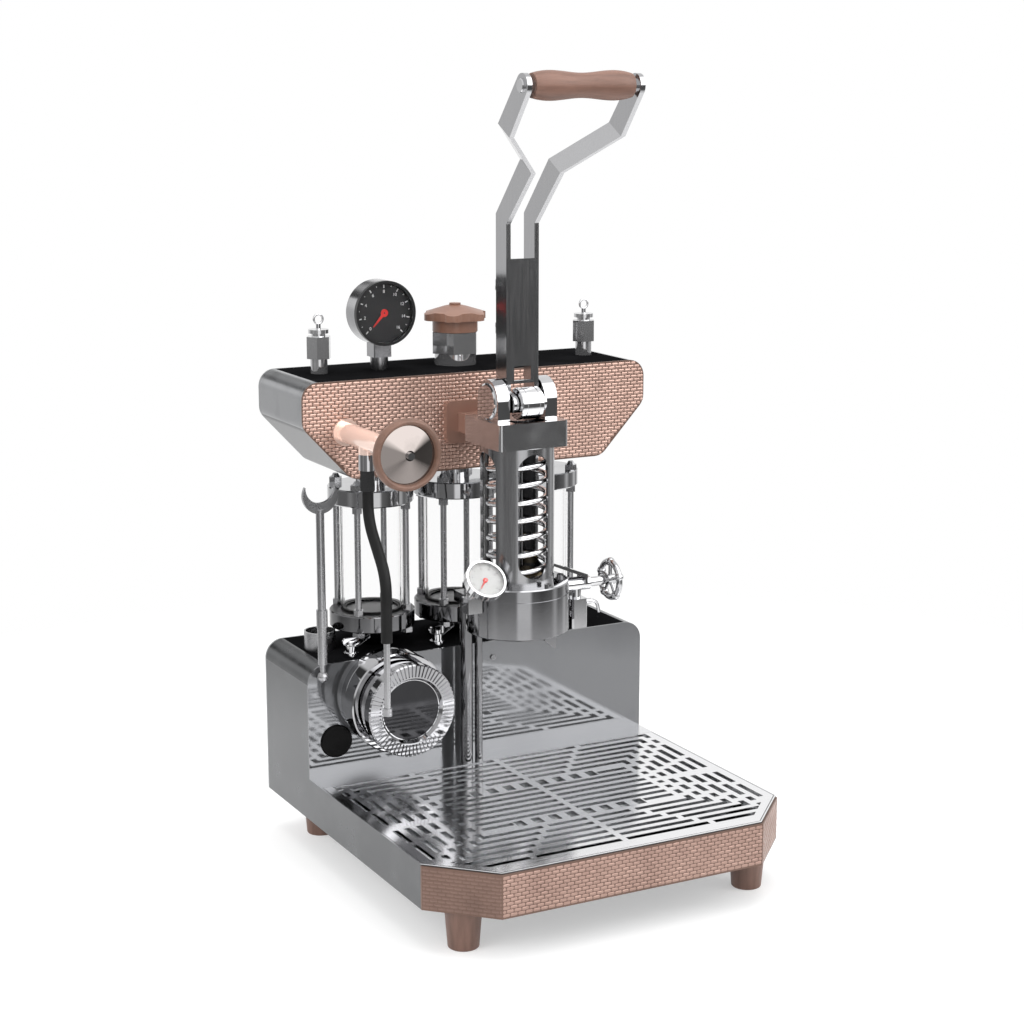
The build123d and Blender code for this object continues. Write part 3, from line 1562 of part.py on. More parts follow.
# Pull rings on their stems
for x, valve_name in zip(safety_xs, ("valve_ring_left", "valve_ring_right")):
    ring_centre_z = safety_top_z + safety_stem_height + pull_ring_radius
    with BuildPart() as valve_ring:
        disc((x, fitting_y, safety_neck_z), (0, 0, 1), safety_stem_radius,
             safety_top_z + safety_stem_height - safety_neck_z)
        ring((x, fitting_y, ring_centre_z), (0, -1, 0), pull_ring_radius, pull_ring_wire)
    valve_ring.part.label = valve_name
    export_step(valve_ring.part, f"parts/{valve_name}.step")

# Vent valve: pipe, two bulbs and a dark body with a round button
vent_lower_z = housing_top + vent_lower_rise
vent_upper_z = housing_top + vent_upper_rise
with BuildPart() as vent_valve:
    turn((vent_x, fitting_y, 0), (0, 0, 1), [
        (0, housing_top),
        (vent_pipe_radius, housing_top),
        (vent_pipe_radius, vent_lower_z - vent_bulb_height / 2),
        (vent_bulb_radius - vent_bulb_edge, vent_lower_z - vent_bulb_height / 2),
        (vent_bulb_radius, vent_lower_z - vent_bulb_height / 2 + vent_bulb_edge),
        (vent_bulb_radius, vent_lower_z + vent_bulb_height / 2 - vent_bulb_edge),
        (vent_bulb_radius - vent_bulb_edge, vent_lower_z + vent_bulb_height / 2),
        (vent_body_radius, vent_lower_z + vent_bulb_height / 2),
        (vent_body_radius, vent_upper_z - vent_bulb_height / 2),
        (vent_bulb_radius - vent_bulb_edge, vent_upper_z - vent_bulb_height / 2),
        (vent_bulb_radius, vent_upper_z - vent_bulb_height / 2 + vent_bulb_edge),
        (vent_bulb_radius, vent_upper_z + vent_bulb_height / 2 - vent_bulb_edge),
        (vent_bulb_radius - vent_bulb_edge, vent_upper_z + vent_bulb_height / 2),
        (0, vent_upper_z + vent_bulb_height / 2),
    ])
    disc((vent_x, fitting_y, housing_top + vent_button_rise), (0, -1, 0), vent_button_radius,
         vent_body_radius + vent_button_height)
vent_valve.part.label = "vent_valve"
export_step(vent_valve.part, "parts/vent_valve.step")

# Steam valve: pipe from the housing, outlet with a hexagon ferrule, bonnet and spindle
steam_x = -half_width + steam_side_distance
steam_z = housing_top - steam_drop
outlet_y = tower_front - outlet_forward
ferrule_top_z = steam_z - outlet_drop
ferrule_bottom_z = ferrule_top_z - ferrule_height
wheel_y = tower_front - wheel_reach
spindle_end = wheel_reach + wheel_hub_length / 2 + spindle_cap_length
wand_top_z = ferrule_bottom_z + wand_spigot
with BuildPart() as steam_valve:
    turn((steam_x, tower_front, steam_z), (0, -1, 0), [
        (0, 0),
        (steam_flange_radius, 0),
        (steam_flange_radius, steam_flange_thickness),
        (steam_pipe_radius, steam_flange_thickness),
        (steam_pipe_radius, steam_pipe_length),
        (steam_bonnet_radius, steam_pipe_length),
        (steam_bonnet_radius, steam_pipe_length + steam_bonnet_length),
        (spindle_radius, steam_pipe_length + steam_bonnet_length),
        (spindle_radius, spindle_end),
        (0, spindle_end),
    ])
    disc((steam_x, outlet_y, ferrule_top_z), (0, 0, 1), outlet_radius, outlet_drop)
    with BuildSketch(Plane.XY.offset(ferrule_bottom_z)):
        with Locations((steam_x, outlet_y)):
            RegularPolygon(ferrule_radius, 6)
    extrude(amount=ferrule_height)
    disc((steam_x, outlet_y, ferrule_bottom_z), (0, 0, 1), wand_tube_radius + running_gap, wand_spigot + clearance,
         Mode.SUBTRACT)
steam_valve.part.label = "steam_valve"
export_step(steam_valve.part, "parts/steam_valve.step")

# Steam handwheel: hub with a conical dish, and a wooden rim round it
rim_inner_radius = wheel_outer_radius - wheel_rim_width
dish_edge = rim_inner_radius + wheel_rim_bite
with BuildPart() as steam_wheel:
    turn((steam_x, wheel_y + wheel_hub_length / 2, steam_z), (0, -1, 0), [
        (spindle_radius + running_gap, 0),
        (wheel_hub_radius, 0),
        (wheel_hub_radius, wheel_hub_length - wheel_dish_depth),
        (rim_inner_radius, wheel_hub_length / 2 - wheel_dish_thickness / 2),
        (dish_edge, wheel_hub_length / 2 - wheel_dish_thickness / 2),
        (dish_edge, wheel_hub_length / 2 + wheel_dish_thickness / 2),
        (rim_inner_radius, wheel_hub_length / 2 + wheel_dish_thickness / 2),
        (wheel_hub_radius, wheel_hub_length),
        (spindle_radius + running_gap, wheel_hub_length),
    ])
steam_wheel.part.label = "steam_wheel"
export_step(steam_wheel.part, "parts/steam_wheel.step")

with BuildPart() as steam_wheel_rim:
    rim_plane = Plane((steam_x, wheel_y, steam_z), x_dir=(1, 0, 0), z_dir=(0, 0, 1))
    with BuildSketch(rim_plane) as rim_section:
        with Locations((wheel_outer_radius - wheel_rim_width / 2, 0)):
            Ellipse(wheel_rim_width / 2, wheel_rim_depth / 2)
        with Locations((rim_inner_radius + wheel_rim_bite - wheel_rim_width / 2, 0)):
            Rectangle(wheel_rim_width, wheel_dish_thickness, mode=Mode.SUBTRACT)
    revolve(rim_section.sketch, axis=Axis((steam_x, wheel_y, steam_z), (0, -1, 0)))
steam_wheel_rim.part.label = "steam_wheel_rim"
export_step(steam_wheel_rim.part, "parts/steam_wheel_rim.step")


def wand_path(top_z, bottom_z):
    """Centre line of the steam wand between two heights."""
    outlet = (steam_x, outlet_y)
    tip = (steam_x, outlet_y - wand_reach)
    return [
        (*outlet, top_z),
        (*outlet, ferrule_bottom_z - wand_bend_start),
        (*tip, ferrule_bottom_z - wand_bend_end),
        (*tip, bottom_z),
    ]


# Steam wand: a steel tube with a nozzle, and a dark sleeve over its upper part
wand_tip_z = ferrule_bottom_z - wand_length
with BuildPart() as wand_tube:
    with BuildLine():
        FilletPolyline(*wand_path(wand_top_z, wand_tip_z), radius=wand_bend_radius)
    with BuildSketch(Plane.XY.offset(wand_top_z)):
        with Locations((steam_x, outlet_y)):
            Circle(wand_tube_radius)
    sweep()
    disc((steam_x, outlet_y - wand_reach, wand_tip_z), (0, 0, 1), wand_nozzle_radius, wand_nozzle_height)
wand_tube.part.label = "wand_tube"
export_step(wand_tube.part, "parts/wand_tube.step")

sleeve_top_z = ferrule_bottom_z - wand_sleeve_gap
with BuildPart() as wand_sleeve:
    with BuildLine():
        FilletPolyline(*wand_path(sleeve_top_z, ferrule_bottom_z - wand_sleeve_length), radius=wand_bend_radius)
    with BuildSketch(Plane.XY.offset(sleeve_top_z)):
        with Locations((steam_x, outlet_y)):
            Circle(wand_sleeve_radius)
            Circle(wand_tube_radius, mode=Mode.SUBTRACT)
    sweep()
wand_sleeve.part.label = "wand_sleeve"
export_step(wand_sleeve.part, "parts/wand_sleeve.step")

# Side valve: body out of the bell, hanging block, brace up to the cylinder, and a spout
side_start_x = bell_radius - side_body_sink
side_neck_x = side_body_sink + side_body_length
side_wheel_x = bell_radius + side_wheel_reach
side_block_x = bell_radius + side_block_reach
side_block_top_z = bell_groove_z - side_block_drop
side_nozzle_z = bell_groove_z - side_nozzle_drop
brace_end_x = bell_radius + brace_reach
brace_start_x = cylinder_radius - overrun
brace_start_z = bell_top_z + brace_start_rise
brace_end_z = bell_top_z - brace_end_drop
spout_start_x = side_block_x + side_block_width / 2 + side_nozzle_length
with BuildPart() as side_valve:
    turn((side_start_x, group_y, bell_groove_z), (1, 0, 0), [
        (0, 0),
        (side_body_radius, 0),
        (side_body_radius, side_neck_x),
        (side_neck_radius, side_neck_x),
        (side_neck_radius, side_neck_x + side_neck_length),
        (side_spindle_radius, side_neck_x + side_neck_length),
        (side_spindle_radius, side_wheel_x + side_wheel_hub_length / 2 - side_start_x),
        (0, side_wheel_x + side_wheel_hub_length / 2 - side_start_x),
    ])
    tube_between((side_block_x, group_y, side_block_top_z), (side_block_x, group_y, bell_groove_z), side_neck_radius)
    with BuildSketch(Plane.XY.offset(side_block_top_z - side_block_height)) as block:
        with Locations((side_block_x, group_y)):
            Rectangle(side_block_width, side_block_width)
        chamfer(block.vertices(), side_block_edge)
    extrude(amount=side_block_height)
    with BuildSketch(front_plane(group_y)):
        with BuildLine():
            Polyline(
                (brace_start_x, brace_start_z),
                (brace_end_x, brace_end_z),
                (brace_end_x, bell_groove_z),
                (brace_end_x - brace_thickness, bell_groove_z),
                (brace_end_x - brace_thickness, brace_end_z - brace_thickness),
                (brace_start_x, brace_start_z - brace_thickness),
                close=True,
            )
        make_face()
    extrude(amount=brace_width / 2, both=True)
    disc((0, group_y, bell_bottom_z), (0, 0, 1), bell_radius, bell_height, Mode.SUBTRACT)
    disc((0, group_y, bell_top_z), (0, 0, 1), cylinder_radius, cylinder_height, Mode.SUBTRACT)
    disc((side_block_x, group_y, side_nozzle_z), (1, 0, 0), side_nozzle_radius,
         side_block_width / 2 + side_nozzle_length)
    with BuildLine():
        FilletPolyline(
            (spout_start_x, group_y, side_nozzle_z),
            (spout_start_x + spout_run, group_y, side_nozzle_z),
            (spout_start_x + spout_run + spout_lean, group_y, side_nozzle_z - spout_drop),
            radius=spout_bend_radius,
        )
    with BuildSketch(side_plane(spout_start_x)):
        with Locations((group_y, side_nozzle_z)):
            Circle(spout_radius)
    sweep()
side_valve.part.label = "side_valve"
export_step(side_valve.part, "parts/side_valve.step")

# Side handwheel: ring, hub, spokes and a knob at the end of each spoke
spoke_ring = side_wheel_radius - side_wheel_wire
wheel_centre = Vector(side_wheel_x, group_y, bell_groove_z)
with BuildPart() as side_wheel:
    ring(wheel_centre, (1, 0, 0), spoke_ring, side_wheel_wire)
    disc(wheel_centre - Vector(side_wheel_hub_length / 2, 0, 0), (1, 0, 0), side_wheel_hub_radius,
         side_wheel_hub_length)
    for spoke in range(side_wheel_spokes):
        angle = 2 * pi * spoke / side_wheel_spokes + pi / 2
        tip = wheel_centre + Vector(0, cos(angle), sin(angle)) * spoke_ring
        tube_between(wheel_centre, tip, side_spoke_radius)
        with Locations(tip):
            Sphere(side_wheel_knob_radius)
    disc(wheel_centre - Vector(side_wheel_hub_length, 0, 0), (1, 0, 0), side_spindle_radius + running_gap,
         2 * side_wheel_hub_length, Mode.SUBTRACT)
side_wheel.part.label = "side_wheel"
export_step(side_wheel.part, "parts/side_wheel.step")

# Round hatch on the tower's front: stepped collar with a window recess
hatch_way = (0, -1, 0)
hatch_x = -half_width + hatch_side_distance
hatch_z = tower_top - hatch_drop
hatch_place = (hatch_x, tower_front, hatch_z)
waist_start = hatch_flange_depth
ring_start = waist_start + hatch_waist_depth
groove_start = ring_start + hatch_ring_depth
barrel_start = groove_start + hatch_groove_depth
spigot_start = barrel_start + hatch_barrel_depth
hatch_front = spigot_start + hatch_spigot_depth
with BuildPart() as hatch_collar:
    turn(hatch_place, hatch_way, [
        (0, 0),
        (hatch_flange_radius, 0),
        (hatch_flange_radius, waist_start - hatch_edge),
        (hatch_flange_radius - hatch_edge, waist_start),
        (hatch_waist_radius, waist_start),
        (hatch_waist_radius, ring_start),
        (hatch_ring_radius - hatch_edge, ring_start),
        (hatch_ring_radius, ring_start + hatch_edge),
        (hatch_ring_radius, groove_start - hatch_edge),
        (hatch_ring_radius - hatch_edge, groove_start),
        (hatch_groove_radius, groove_start),
        (hatch_groove_radius, barrel_start),
        (hatch_barrel_radius, barrel_start),
        (hatch_barrel_radius, spigot_start),
        (hatch_spigot_radius, spigot_start),
        (hatch_spigot_radius, hatch_front),
        (hatch_window_radius, hatch_front),
        (hatch_window_radius, hatch_front - hatch_window_depth),
        (0, hatch_front - hatch_window_depth),
    ])
hatch_collar.part.label = "hatch_collar"
export_step(hatch_collar.part, "parts/hatch_collar.step")

with BuildPart() as hatch_disc:
    disc((hatch_x, tower_front - hatch_front + hatch_window_depth, hatch_z), hatch_way, hatch_window_radius,
         hatch_disc_thickness)
hatch_disc.part.label = "hatch_disc"
export_step(hatch_disc.part, "parts/hatch_disc.step")

# Lock ring over the hatch's spigot, with radial grooves for the fingers
lock_groove_width = 2 * pi * lock_ring_mouth / lock_groove_count * lock_groove_share
lock_start = spigot_start + clearance
lock_step = hatch_front + clearance
lock_end = lock_step + lock_ring_lip
with BuildPart() as lock_ring:
    turn(hatch_place, hatch_way, [
        (hatch_spigot_radius + running_gap, lock_start),
        (lock_ring_radius, lock_start),
        (lock_ring_radius, lock_end - lock_face_edge),
        (lock_ring_radius - lock_face_edge, lock_end),
        (lock_ring_mouth, lock_end),
        (lock_ring_throat, lock_step),
        (hatch_spigot_radius + running_gap, lock_step),
    ])
    with BuildSketch(front_plane(tower_front - lock_end + lock_groove_depth)):
        with Locations((hatch_x, hatch_z)):
            with PolarLocations((lock_ring_mouth + lock_face_edge + lock_ring_radius) / 2, lock_groove_count):
                Rectangle(lock_ring_radius - lock_ring_mouth - lock_face_edge, lock_groove_width)
    extrude(amount=2 * lock_groove_depth, mode=Mode.SUBTRACT)
lock_ring.part.label = "lock_ring"
export_step(lock_ring.part, "parts/lock_ring.step")

# Push button in the tower's front
with BuildPart() as power_button:
    turn((button_x, tower_front - button_proud, button_z), (0, 1, 0), [
        (0, 0),
        (button_face_radius - button_edge, 0),
        (button_face_radius, button_edge),
        (button_face_radius, button_thickness),
        (button_stem_radius, button_thickness),
        (button_stem_radius, button_thickness + button_stem_length),
        (0, button_thickness + button_stem_length),
    ])
power_button.part.label = "power_button"
export_step(power_button.part, "parts/power_button.step")

# Switch body behind the button
switch_start = panel_thickness + button_proud
button_end = button_thickness + button_travel + clearance
stem_end_y = button_end + button_stem_length
with BuildPart() as switch_body:
    turn((button_x, tower_front - button_proud, button_z), (0, 1, 0), [
        (button_face_radius + clearance, switch_start),
        (button_face_radius + button_guide_wall, switch_start),
        (button_face_radius + button_guide_wall, stem_end_y + button_guide_wall),
        (0, stem_end_y + button_guide_wall),
        (0, stem_end_y),
        (button_stem_radius + running_gap, stem_end_y),
        (button_stem_radius + running_gap, button_end),
        (button_face_radius + clearance, button_end),
    ])
switch_body.part.label = "switch_body"
export_step(switch_body.part, "parts/switch_body.step")

# Screws: tower front, bell shoulder and rear covers
cover_screw_x = half_width - tower_corner_radius
cover_screw_zs = (foot_height + cover_screw_inset, tower_top - cover_screw_inset, housing_top - cover_screw_inset)
with BuildPart() as screws:
    disc((tower_screw_x, tower_front, tower_top - tower_screw_drop), (0, -1, 0), screw_radius, screw_height)
    for angle in bell_screw_angles:
        place_x = bell_screw_reach * cos(radians(angle))
        place_y = group_y + bell_screw_reach * sin(radians(angle))
        with BuildSketch(Plane.XY.offset(bell_top_z)):
            with Locations((place_x, place_y)):
                Circle(bell_screw_radius)
                RegularPolygon(bell_screw_radius / 2, 6, mode=Mode.SUBTRACT)
        extrude(amount=bell_screw_height)
    with BuildSketch(front_plane(back_y + screw_height)):
        with Locations(*[(side * cover_screw_x, z) for side in (-1, 1) for z in cover_screw_zs]):
            Circle(screw_radius)
    extrude(amount=screw_height)
screws.part.label = "screws"
export_step(screws.part, "parts/screws.step")

# Band heater round the tank, and saddles that carry the tank and the boiler
with BuildPart() as tank_fittings:
    with BuildSketch(side_plane(heater_x - heater_length / 2)):
        with Locations((column_y, tank_z)):
            Circle(tank_radius + heater_thickness)
            Circle(tank_radius, mode=Mode.SUBTRACT)
    extrude(amount=heater_length)
    for x in (-saddle_spread / 2, saddle_spread / 2):
        for centre_z, floor_z, radius, width in (
            (tank_z, foot_height + skin, tank_radius, saddle_width),
            (boiler_z, housing_bottom + skin, boiler_radius, saddle_width),
        ):
            with BuildSketch(side_plane(x - saddle_thickness / 2)):
                with Locations((column_y, (floor_z + centre_z) / 2)):
                    Rectangle(width, centre_z - floor_z)
                with Locations((column_y, centre_z)):
                    Circle(radius, mode=Mode.SUBTRACT)
                    Rectangle(width, radius, mode=Mode.SUBTRACT)
            extrude(amount=saddle_thickness)
tank_fittings.part.label = "tank_fittings"
export_step(tank_fittings.part, "parts/tank_fittings.step")
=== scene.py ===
from math import ceil, cos, pi, radians, sin
from random import Random

import bmesh
import bpy
from mathutils import Matrix, Vector


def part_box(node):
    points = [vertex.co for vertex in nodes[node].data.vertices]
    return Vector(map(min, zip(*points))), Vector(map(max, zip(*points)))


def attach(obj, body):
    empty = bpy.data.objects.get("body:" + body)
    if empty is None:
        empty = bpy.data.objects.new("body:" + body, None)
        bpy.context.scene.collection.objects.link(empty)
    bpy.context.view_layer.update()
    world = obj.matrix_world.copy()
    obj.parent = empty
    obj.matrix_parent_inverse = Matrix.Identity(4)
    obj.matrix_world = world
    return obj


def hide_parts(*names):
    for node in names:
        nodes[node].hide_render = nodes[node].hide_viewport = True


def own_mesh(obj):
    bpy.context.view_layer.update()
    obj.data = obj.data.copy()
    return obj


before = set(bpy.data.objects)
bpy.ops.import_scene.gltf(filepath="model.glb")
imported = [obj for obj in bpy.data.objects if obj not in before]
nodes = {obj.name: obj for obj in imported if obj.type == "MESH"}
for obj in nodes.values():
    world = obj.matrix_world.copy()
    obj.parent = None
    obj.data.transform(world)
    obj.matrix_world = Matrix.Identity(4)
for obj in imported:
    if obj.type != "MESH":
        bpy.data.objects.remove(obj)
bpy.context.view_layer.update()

# Manual espresso maker: finishes, small geometry, light and camera.
# Metres, +Z up, +X to the right, -Y towards the user.

MM = 0.001

RIGHT = Vector((1.0, 0.0, 0.0))
UP = Vector((0.0, 0.0, 1.0))
TOWARDS = Vector((0.0, -1.0, 0.0))

# Places and sizes that repeat the model's own, in millimetres
HALF_WIDTH = 180.0
FRONT_Y = -199.4
CORNER_CUT = 50.0
FOOT_TOP = 37.2
TRAY_TOP = 77.6
BAND_TOP = 76.1
TOWER_FRONT = 92.2
HOUSING_TOP = 450.6
HOUSING_SIDE_Z = 409.8
HOUSING_BOTTOM = 358.9
HOUSING_FLOOR_HALF = 132.4
HOUSING_CORNER = 16.0
GROUP_Y = 18.0
HEAD_BACK = 54.0
FLANGE_TOP = 300.0
SEAT_Z = 221.0
CYLINDER_BORE = 31.0
FITTING_Y = 150.0
VENT_RADIUS = 6.6
VENT_BLACK = (482.0, 524.0)
VENT_DOT = (498.0, 507.0)
FERRULE = (357.5, 376.5)
STEAM_Z = 403.5
STEAM_RADIUS = 12.6
STEAM_PIPE_END = -22.1
GAUGE_FACE = (-78.3, 130.0, 505.0)
GAUGE_DIAL_DEPTH = 5.0
GAUGE_DIAL_RADIUS = 27.8
SMALL_FACE = (-51.0, -19.0, 280.0)
SMALL_TILT = 42.0
SMALL_DIAL_DEPTH = 3.6
SMALL_DIAL_RADIUS = 17.2

# Limits of coloured zones: beyond the back and top of every fitting, just behind the tower's front, the half
# depth that takes in one flat face, how far a zone stays off or passes an edge, how far the vent's dot stands
# off its body, and where the painted shade in the cylinder's bore ends; last, in metres, how wide a zone's edge
# is
FAR_Y = 2 * FITTING_Y
FAR_Z = 2 * HOUSING_TOP
BEHIND_FRONT = TOWER_FRONT + 4.0
FACE_DEPTH = 0.3
ZONE_MARGIN = 1.0
DOT_OFF = 0.2
BORE_SHADE_EDGE = (CYLINDER_BORE + 0.4, CYLINDER_BORE + 0.9)
ZONE_EDGE = 0.0001

# Weave on the copper covers, in millimetres; then the start of its random heights, a scale's cut corner as a
# share of its shorter side, and the crown's insets as shares of that cut
WEAVE_LENGTH = 7.2
WEAVE_HEIGHT = 3.3
WEAVE_GAP = 0.62
WEAVE_SEAT = 0.02
WEAVE_CROWN = 0.42
WEAVE_WANDER = 0.16
WEAVE_MARGIN = 0.6
WEAVE_SEED = 7
SCALE_NIP = 0.28
CROWN_INSET = (1.6, 1.2)

# Coil spring between the cylinder's floor and the cap on the rod
SPRING_WIRE = 5.0
SPRING_RADIUS = 27.4
SPRING_TURNS = 6.75
SPRING_START = -157.0
SPRING_STEPS = 28
SPRING_SIDES = 14

# Dials: start and sweep in degrees, counts, where a tick starts and how wide it is, then where ticks end and
# figures sit and how large these are, all as shares of the dial's radius; heights in millimetres
DIAL_START = 225.0
DIAL_SWEEP = 270.0
DIAL_MAJOR = 8
DIAL_MINOR = 2
FIGURE_STEP = 2
LONG_TICK = (0.84, 0.035)
SHORT_TICK = (0.9, 0.02)
TICK_END = 0.95
TICK_HEIGHT = 0.12
FIGURE_REACH = 0.72
FIGURE_HEIGHT = 0.06
GAUGE_FIGURE = 0.15
SMALL_FIGURE = 0.13


def grey(level):
    """Grey of a level."""
    return level, level, level, 1.0


WHITE = grey(1.0)


def effect(name, inputs, outputs):
    """Empty shader group with named sockets."""
    group = bpy.data.node_groups.new(name, "ShaderNodeTree")
    for label, kind, value in inputs:
        socket = group.interface.new_socket(label, in_out="INPUT", socket_type=kind)
        socket.default_value = value
    for label, kind in outputs:
        group.interface.new_socket(label, in_out="OUTPUT", socket_type=kind)
    start = group.nodes.new("NodeGroupInput")
    end = group.nodes.new("NodeGroupOutput")
    return group, start.outputs, end.inputs


def add_node(tree, kind, links=(), **settings):
    """Node with its settings, and its inputs linked or filled by name or number."""
    node = tree.nodes.new(kind)
    for key, value in settings.items():
        setattr(node, key, value)
    for key, source in links:
        if isinstance(source, bpy.types.NodeSocket):
            tree.links.new(source, node.inputs[key])
        else:
            node.inputs[key].default_value = source
    return node


def own_place(tree):
    """Place in the piece's own coordinates."""
    return add_node(tree, "ShaderNodeTexCoord").outputs["Object"]


def noise(tree, spot, scale, detail, roughness):
    """Noise at a place."""
    return add_node(tree, "ShaderNodeTexNoise", [
        ("Vector", spot), ("Scale", scale), ("Detail", detail), ("Roughness", roughness)]).outputs[0]


def stretched_noise(tree, stretch, detail, roughness):
    """Noise over the piece's own coordinates, drawn out along its grain."""
    mapping = add_node(tree, "ShaderNodeMapping", [("Vector", own_place(tree)), ("Scale", stretch)])
    return noise(tree, mapping.outputs[0], 1.0, detail, roughness)


def ranged(tree, value, start, end, low=0.0, high=1.0):
    """Number carried over from one range to another."""
    return add_node(tree, "ShaderNodeMapRange", [
        ("Value", value), ("From Min", start), ("From Max", end), ("To Min", low), ("To Max", high)]).outputs[0]


def mixed(tree, share, below, above):
    """Colour between two others."""
    return add_node(tree, "ShaderNodeMix", [
        ("Factor", share), (6, below), (7, above)], data_type="RGBA").outputs[2]


def number(tree, operation, first, second):
    """Result of a sum on two numbers."""
    return add_node(tree, "ShaderNodeMath", [(0, first), (1, second)], operation=operation).outputs[0]


def vector(tree, operation, first, second):
    """Result of a sum on two vectors."""
    return add_node(tree, "ShaderNodeVectorMath", [(0, first), (1, second)], operation=operation).outputs[0]


def reach_of(tree, spot):
    """Length of a vector."""
    return add_node(tree, "ShaderNodeVectorMath", [(0, spot)], operation="LENGTH").outputs["Value"]


def make_grain():
    """Fine brush lines: a roughness, a height and a light and dark shade."""
    group, given, out = effect("grain", [
        ("Stretch", "NodeSocketVector", (40.0, 40.0, 900.0)),
        ("Low", "NodeSocketFloat", 0.2),
        ("High", "NodeSocketFloat", 0.35),
        ("Dark", "NodeSocketColor", (0.4, 0.4, 0.41, 1.0)),
        ("Light", "NodeSocketColor", (0.6, 0.6, 0.61, 1.0)),
    ], [("Roughness", "NodeSocketFloat"), ("Height", "NodeSocketFloat"), ("Color", "NodeSocketColor")])
    fine = stretched_noise(group, given["Stretch"], 4.0, 0.6)
    broad = stretched_noise(group, (9.0, 9.0, 9.0), 3.0, 0.5)
    tone = ranged(group, number(group, "ADD", fine, broad), 0.7, 1.3)
    group.links.new(ranged(group, fine, 0.3, 0.7, given["Low"], given["High"]), out["Roughness"])
    group.links.new(fine, out["Height"])
    group.links.new(mixed(group, tone, given["Dark"], given["Light"]), out["Color"])
    return group


def make_smudges():
    """Soft smears of handling: a roughness between two values, and a tint."""
    group, given, out = effect("smudges", [
        ("Size", "NodeSocketFloat", 30.0),
        ("Clean", "NodeSocketFloat", 0.05),
        ("Smeared", "NodeSocketFloat", 0.14),
        ("Tint", "NodeSocketColor", (0.7, 0.7, 0.71, 1.0)),
        ("Shade", "NodeSocketColor", (0.6, 0.6, 0.61, 1.0)),
    ], [("Roughness", "NodeSocketFloat"), ("Color", "NodeSocketColor")])
    mask = ranged(group, noise(group, own_place(group), given["Size"], 5.0, 0.62), 0.45, 0.72)
    group.links.new(ranged(group, mask, 0.0, 1.0, given["Clean"], given["Smeared"]), out["Roughness"])
    group.links.new(mixed(group, mask, given["Tint"], given["Shade"]), out["Color"])
    return group


def make_figure():
    """Wood figure: drawn-out streaks with pores."""
    group, given, out = effect("figure", [
        ("Stretch", "NodeSocketVector", (30.0, 240.0, 240.0)),
        ("Dark", "NodeSocketColor", (0.2, 0.09, 0.05, 1.0)),
        ("Light", "NodeSocketColor", (0.42, 0.22, 0.15, 1.0)),
    ], [("Color", "NodeSocketColor"), ("Height", "NodeSocketFloat"), ("Roughness", "NodeSocketFloat")])
    streaks = stretched_noise(group, given["Stretch"], 6.0, 0.62)
    pores = stretched_noise(group, (900.0, 1400.0, 1400.0), 2.0, 0.5)
    tone = ranged(group, streaks, 0.3, 0.68)
    group.links.new(mixed(group, tone, given["Dark"], given["Light"]), out["Color"])
    group.links.new(number(group, "ADD", streaks, pores), out["Height"])
    group.links.new(ranged(group, pores, 0.3, 0.7, 0.38, 0.55), out["Roughness"])
    return group


def make_zone():
    """Mask that is one inside a box of the piece's own coordinates."""
    group, given, out = effect("zone", [
        ("Low", "NodeSocketVector", (-9.0, -9.0, -9.0)),
        ("High", "NodeSocketVector", (9.0, 9.0, 9.0)),
    ], [("Mask", "NodeSocketFloat")])
    spot = own_place(group)
    over = vector(group, "SUBTRACT", spot, given["Low"])
    under = vector(group, "SUBTRACT", given["High"], spot)
    axes = add_node(group, "ShaderNodeSeparateXYZ", [(0, vector(group, "MINIMUM", over, under))])
    plan = number(group, "MINIMUM", axes.outputs[0], axes.outputs[1])
    room = number(group, "MINIMUM", plan, axes.outputs[2])
    group.links.new(ranged(group, room, 0.0, ZONE_EDGE), out["Mask"])
    return group


def make_rub():
    """Edges rubbed bright: a mask from the surface's sharpness."""
    group, given, out = effect("rub", [
        ("Start", "NodeSocketFloat", 0.52),
        ("Full", "NodeSocketFloat", 0.6),
    ], [("Mask", "NodeSocketFloat")])
    geometry = add_node(group, "ShaderNodeNewGeometry")
    wear = stretched_noise(group, (160.0, 160.0, 160.0), 3.0, 0.6)
    edges = ranged(group, geometry.outputs["Pointiness"], given["Start"], given["Full"])
    group.links.new(number(group, "MULTIPLY", edges, wear), out["Mask"])
    return group


def make_pebble():
    """Fine pebbled skin of paint, print and moulding: a height."""
    group, given, out = effect("pebble", [
        ("Stretch", "NodeSocketVector", (700.0, 700.0, 700.0)),
    ], [("Height", "NodeSocketFloat")])
    group.links.new(stretched_noise(group, given["Stretch"], 3.0, 0.6), out["Height"])
    return group


GRAIN = make_grain()
SMUDGES = make_smudges()
FIGURE = make_figure()
RUB = make_rub()
ZONE = make_zone()
PEBBLE = make_pebble()


def new_material(name, **sockets):
    """Material with its constants set on the Principled shader."""
    material = bpy.data.materials.new(name)
    material.use_nodes = True
    tree = material.node_tree
    shader = tree.nodes["Principled BSDF"]
    for label, value in sockets.items():
        shader.inputs[label.replace("_", " ")].default_value = value
    return material, tree, shader


def place(tree, group, **values):
    """Shader group placed in a material with its own values."""
    node = tree.nodes.new("ShaderNodeGroup")
    node.node_tree = group
    for label, value in values.items():
        node.inputs[label].default_value = value
    return node


def place_grain(tree, dark, light, low, high, stretch):
    """Brush lines placed in a material."""
    return place(tree, GRAIN, Stretch=stretch, Low=low, High=high, Dark=(*dark, 1.0), Light=(*light, 1.0))


def place_smudges(tree, tint, shade, clean, smeared, size):
    """Smudges placed in a material: their colour and roughness."""
    node = place(tree, SMUDGES, Size=size, Clean=clean, Smeared=smeared, Tint=(*tint, 1.0), Shade=(*shade, 1.0))
    return node.outputs["Color"], node.outputs["Roughness"]


def cover(tree, shader, color, roughness):
    """Colour and roughness into the shader."""
    tree.links.new(color, shader.inputs["Base Color"])
    tree.links.new(roughness, shader.inputs["Roughness"])


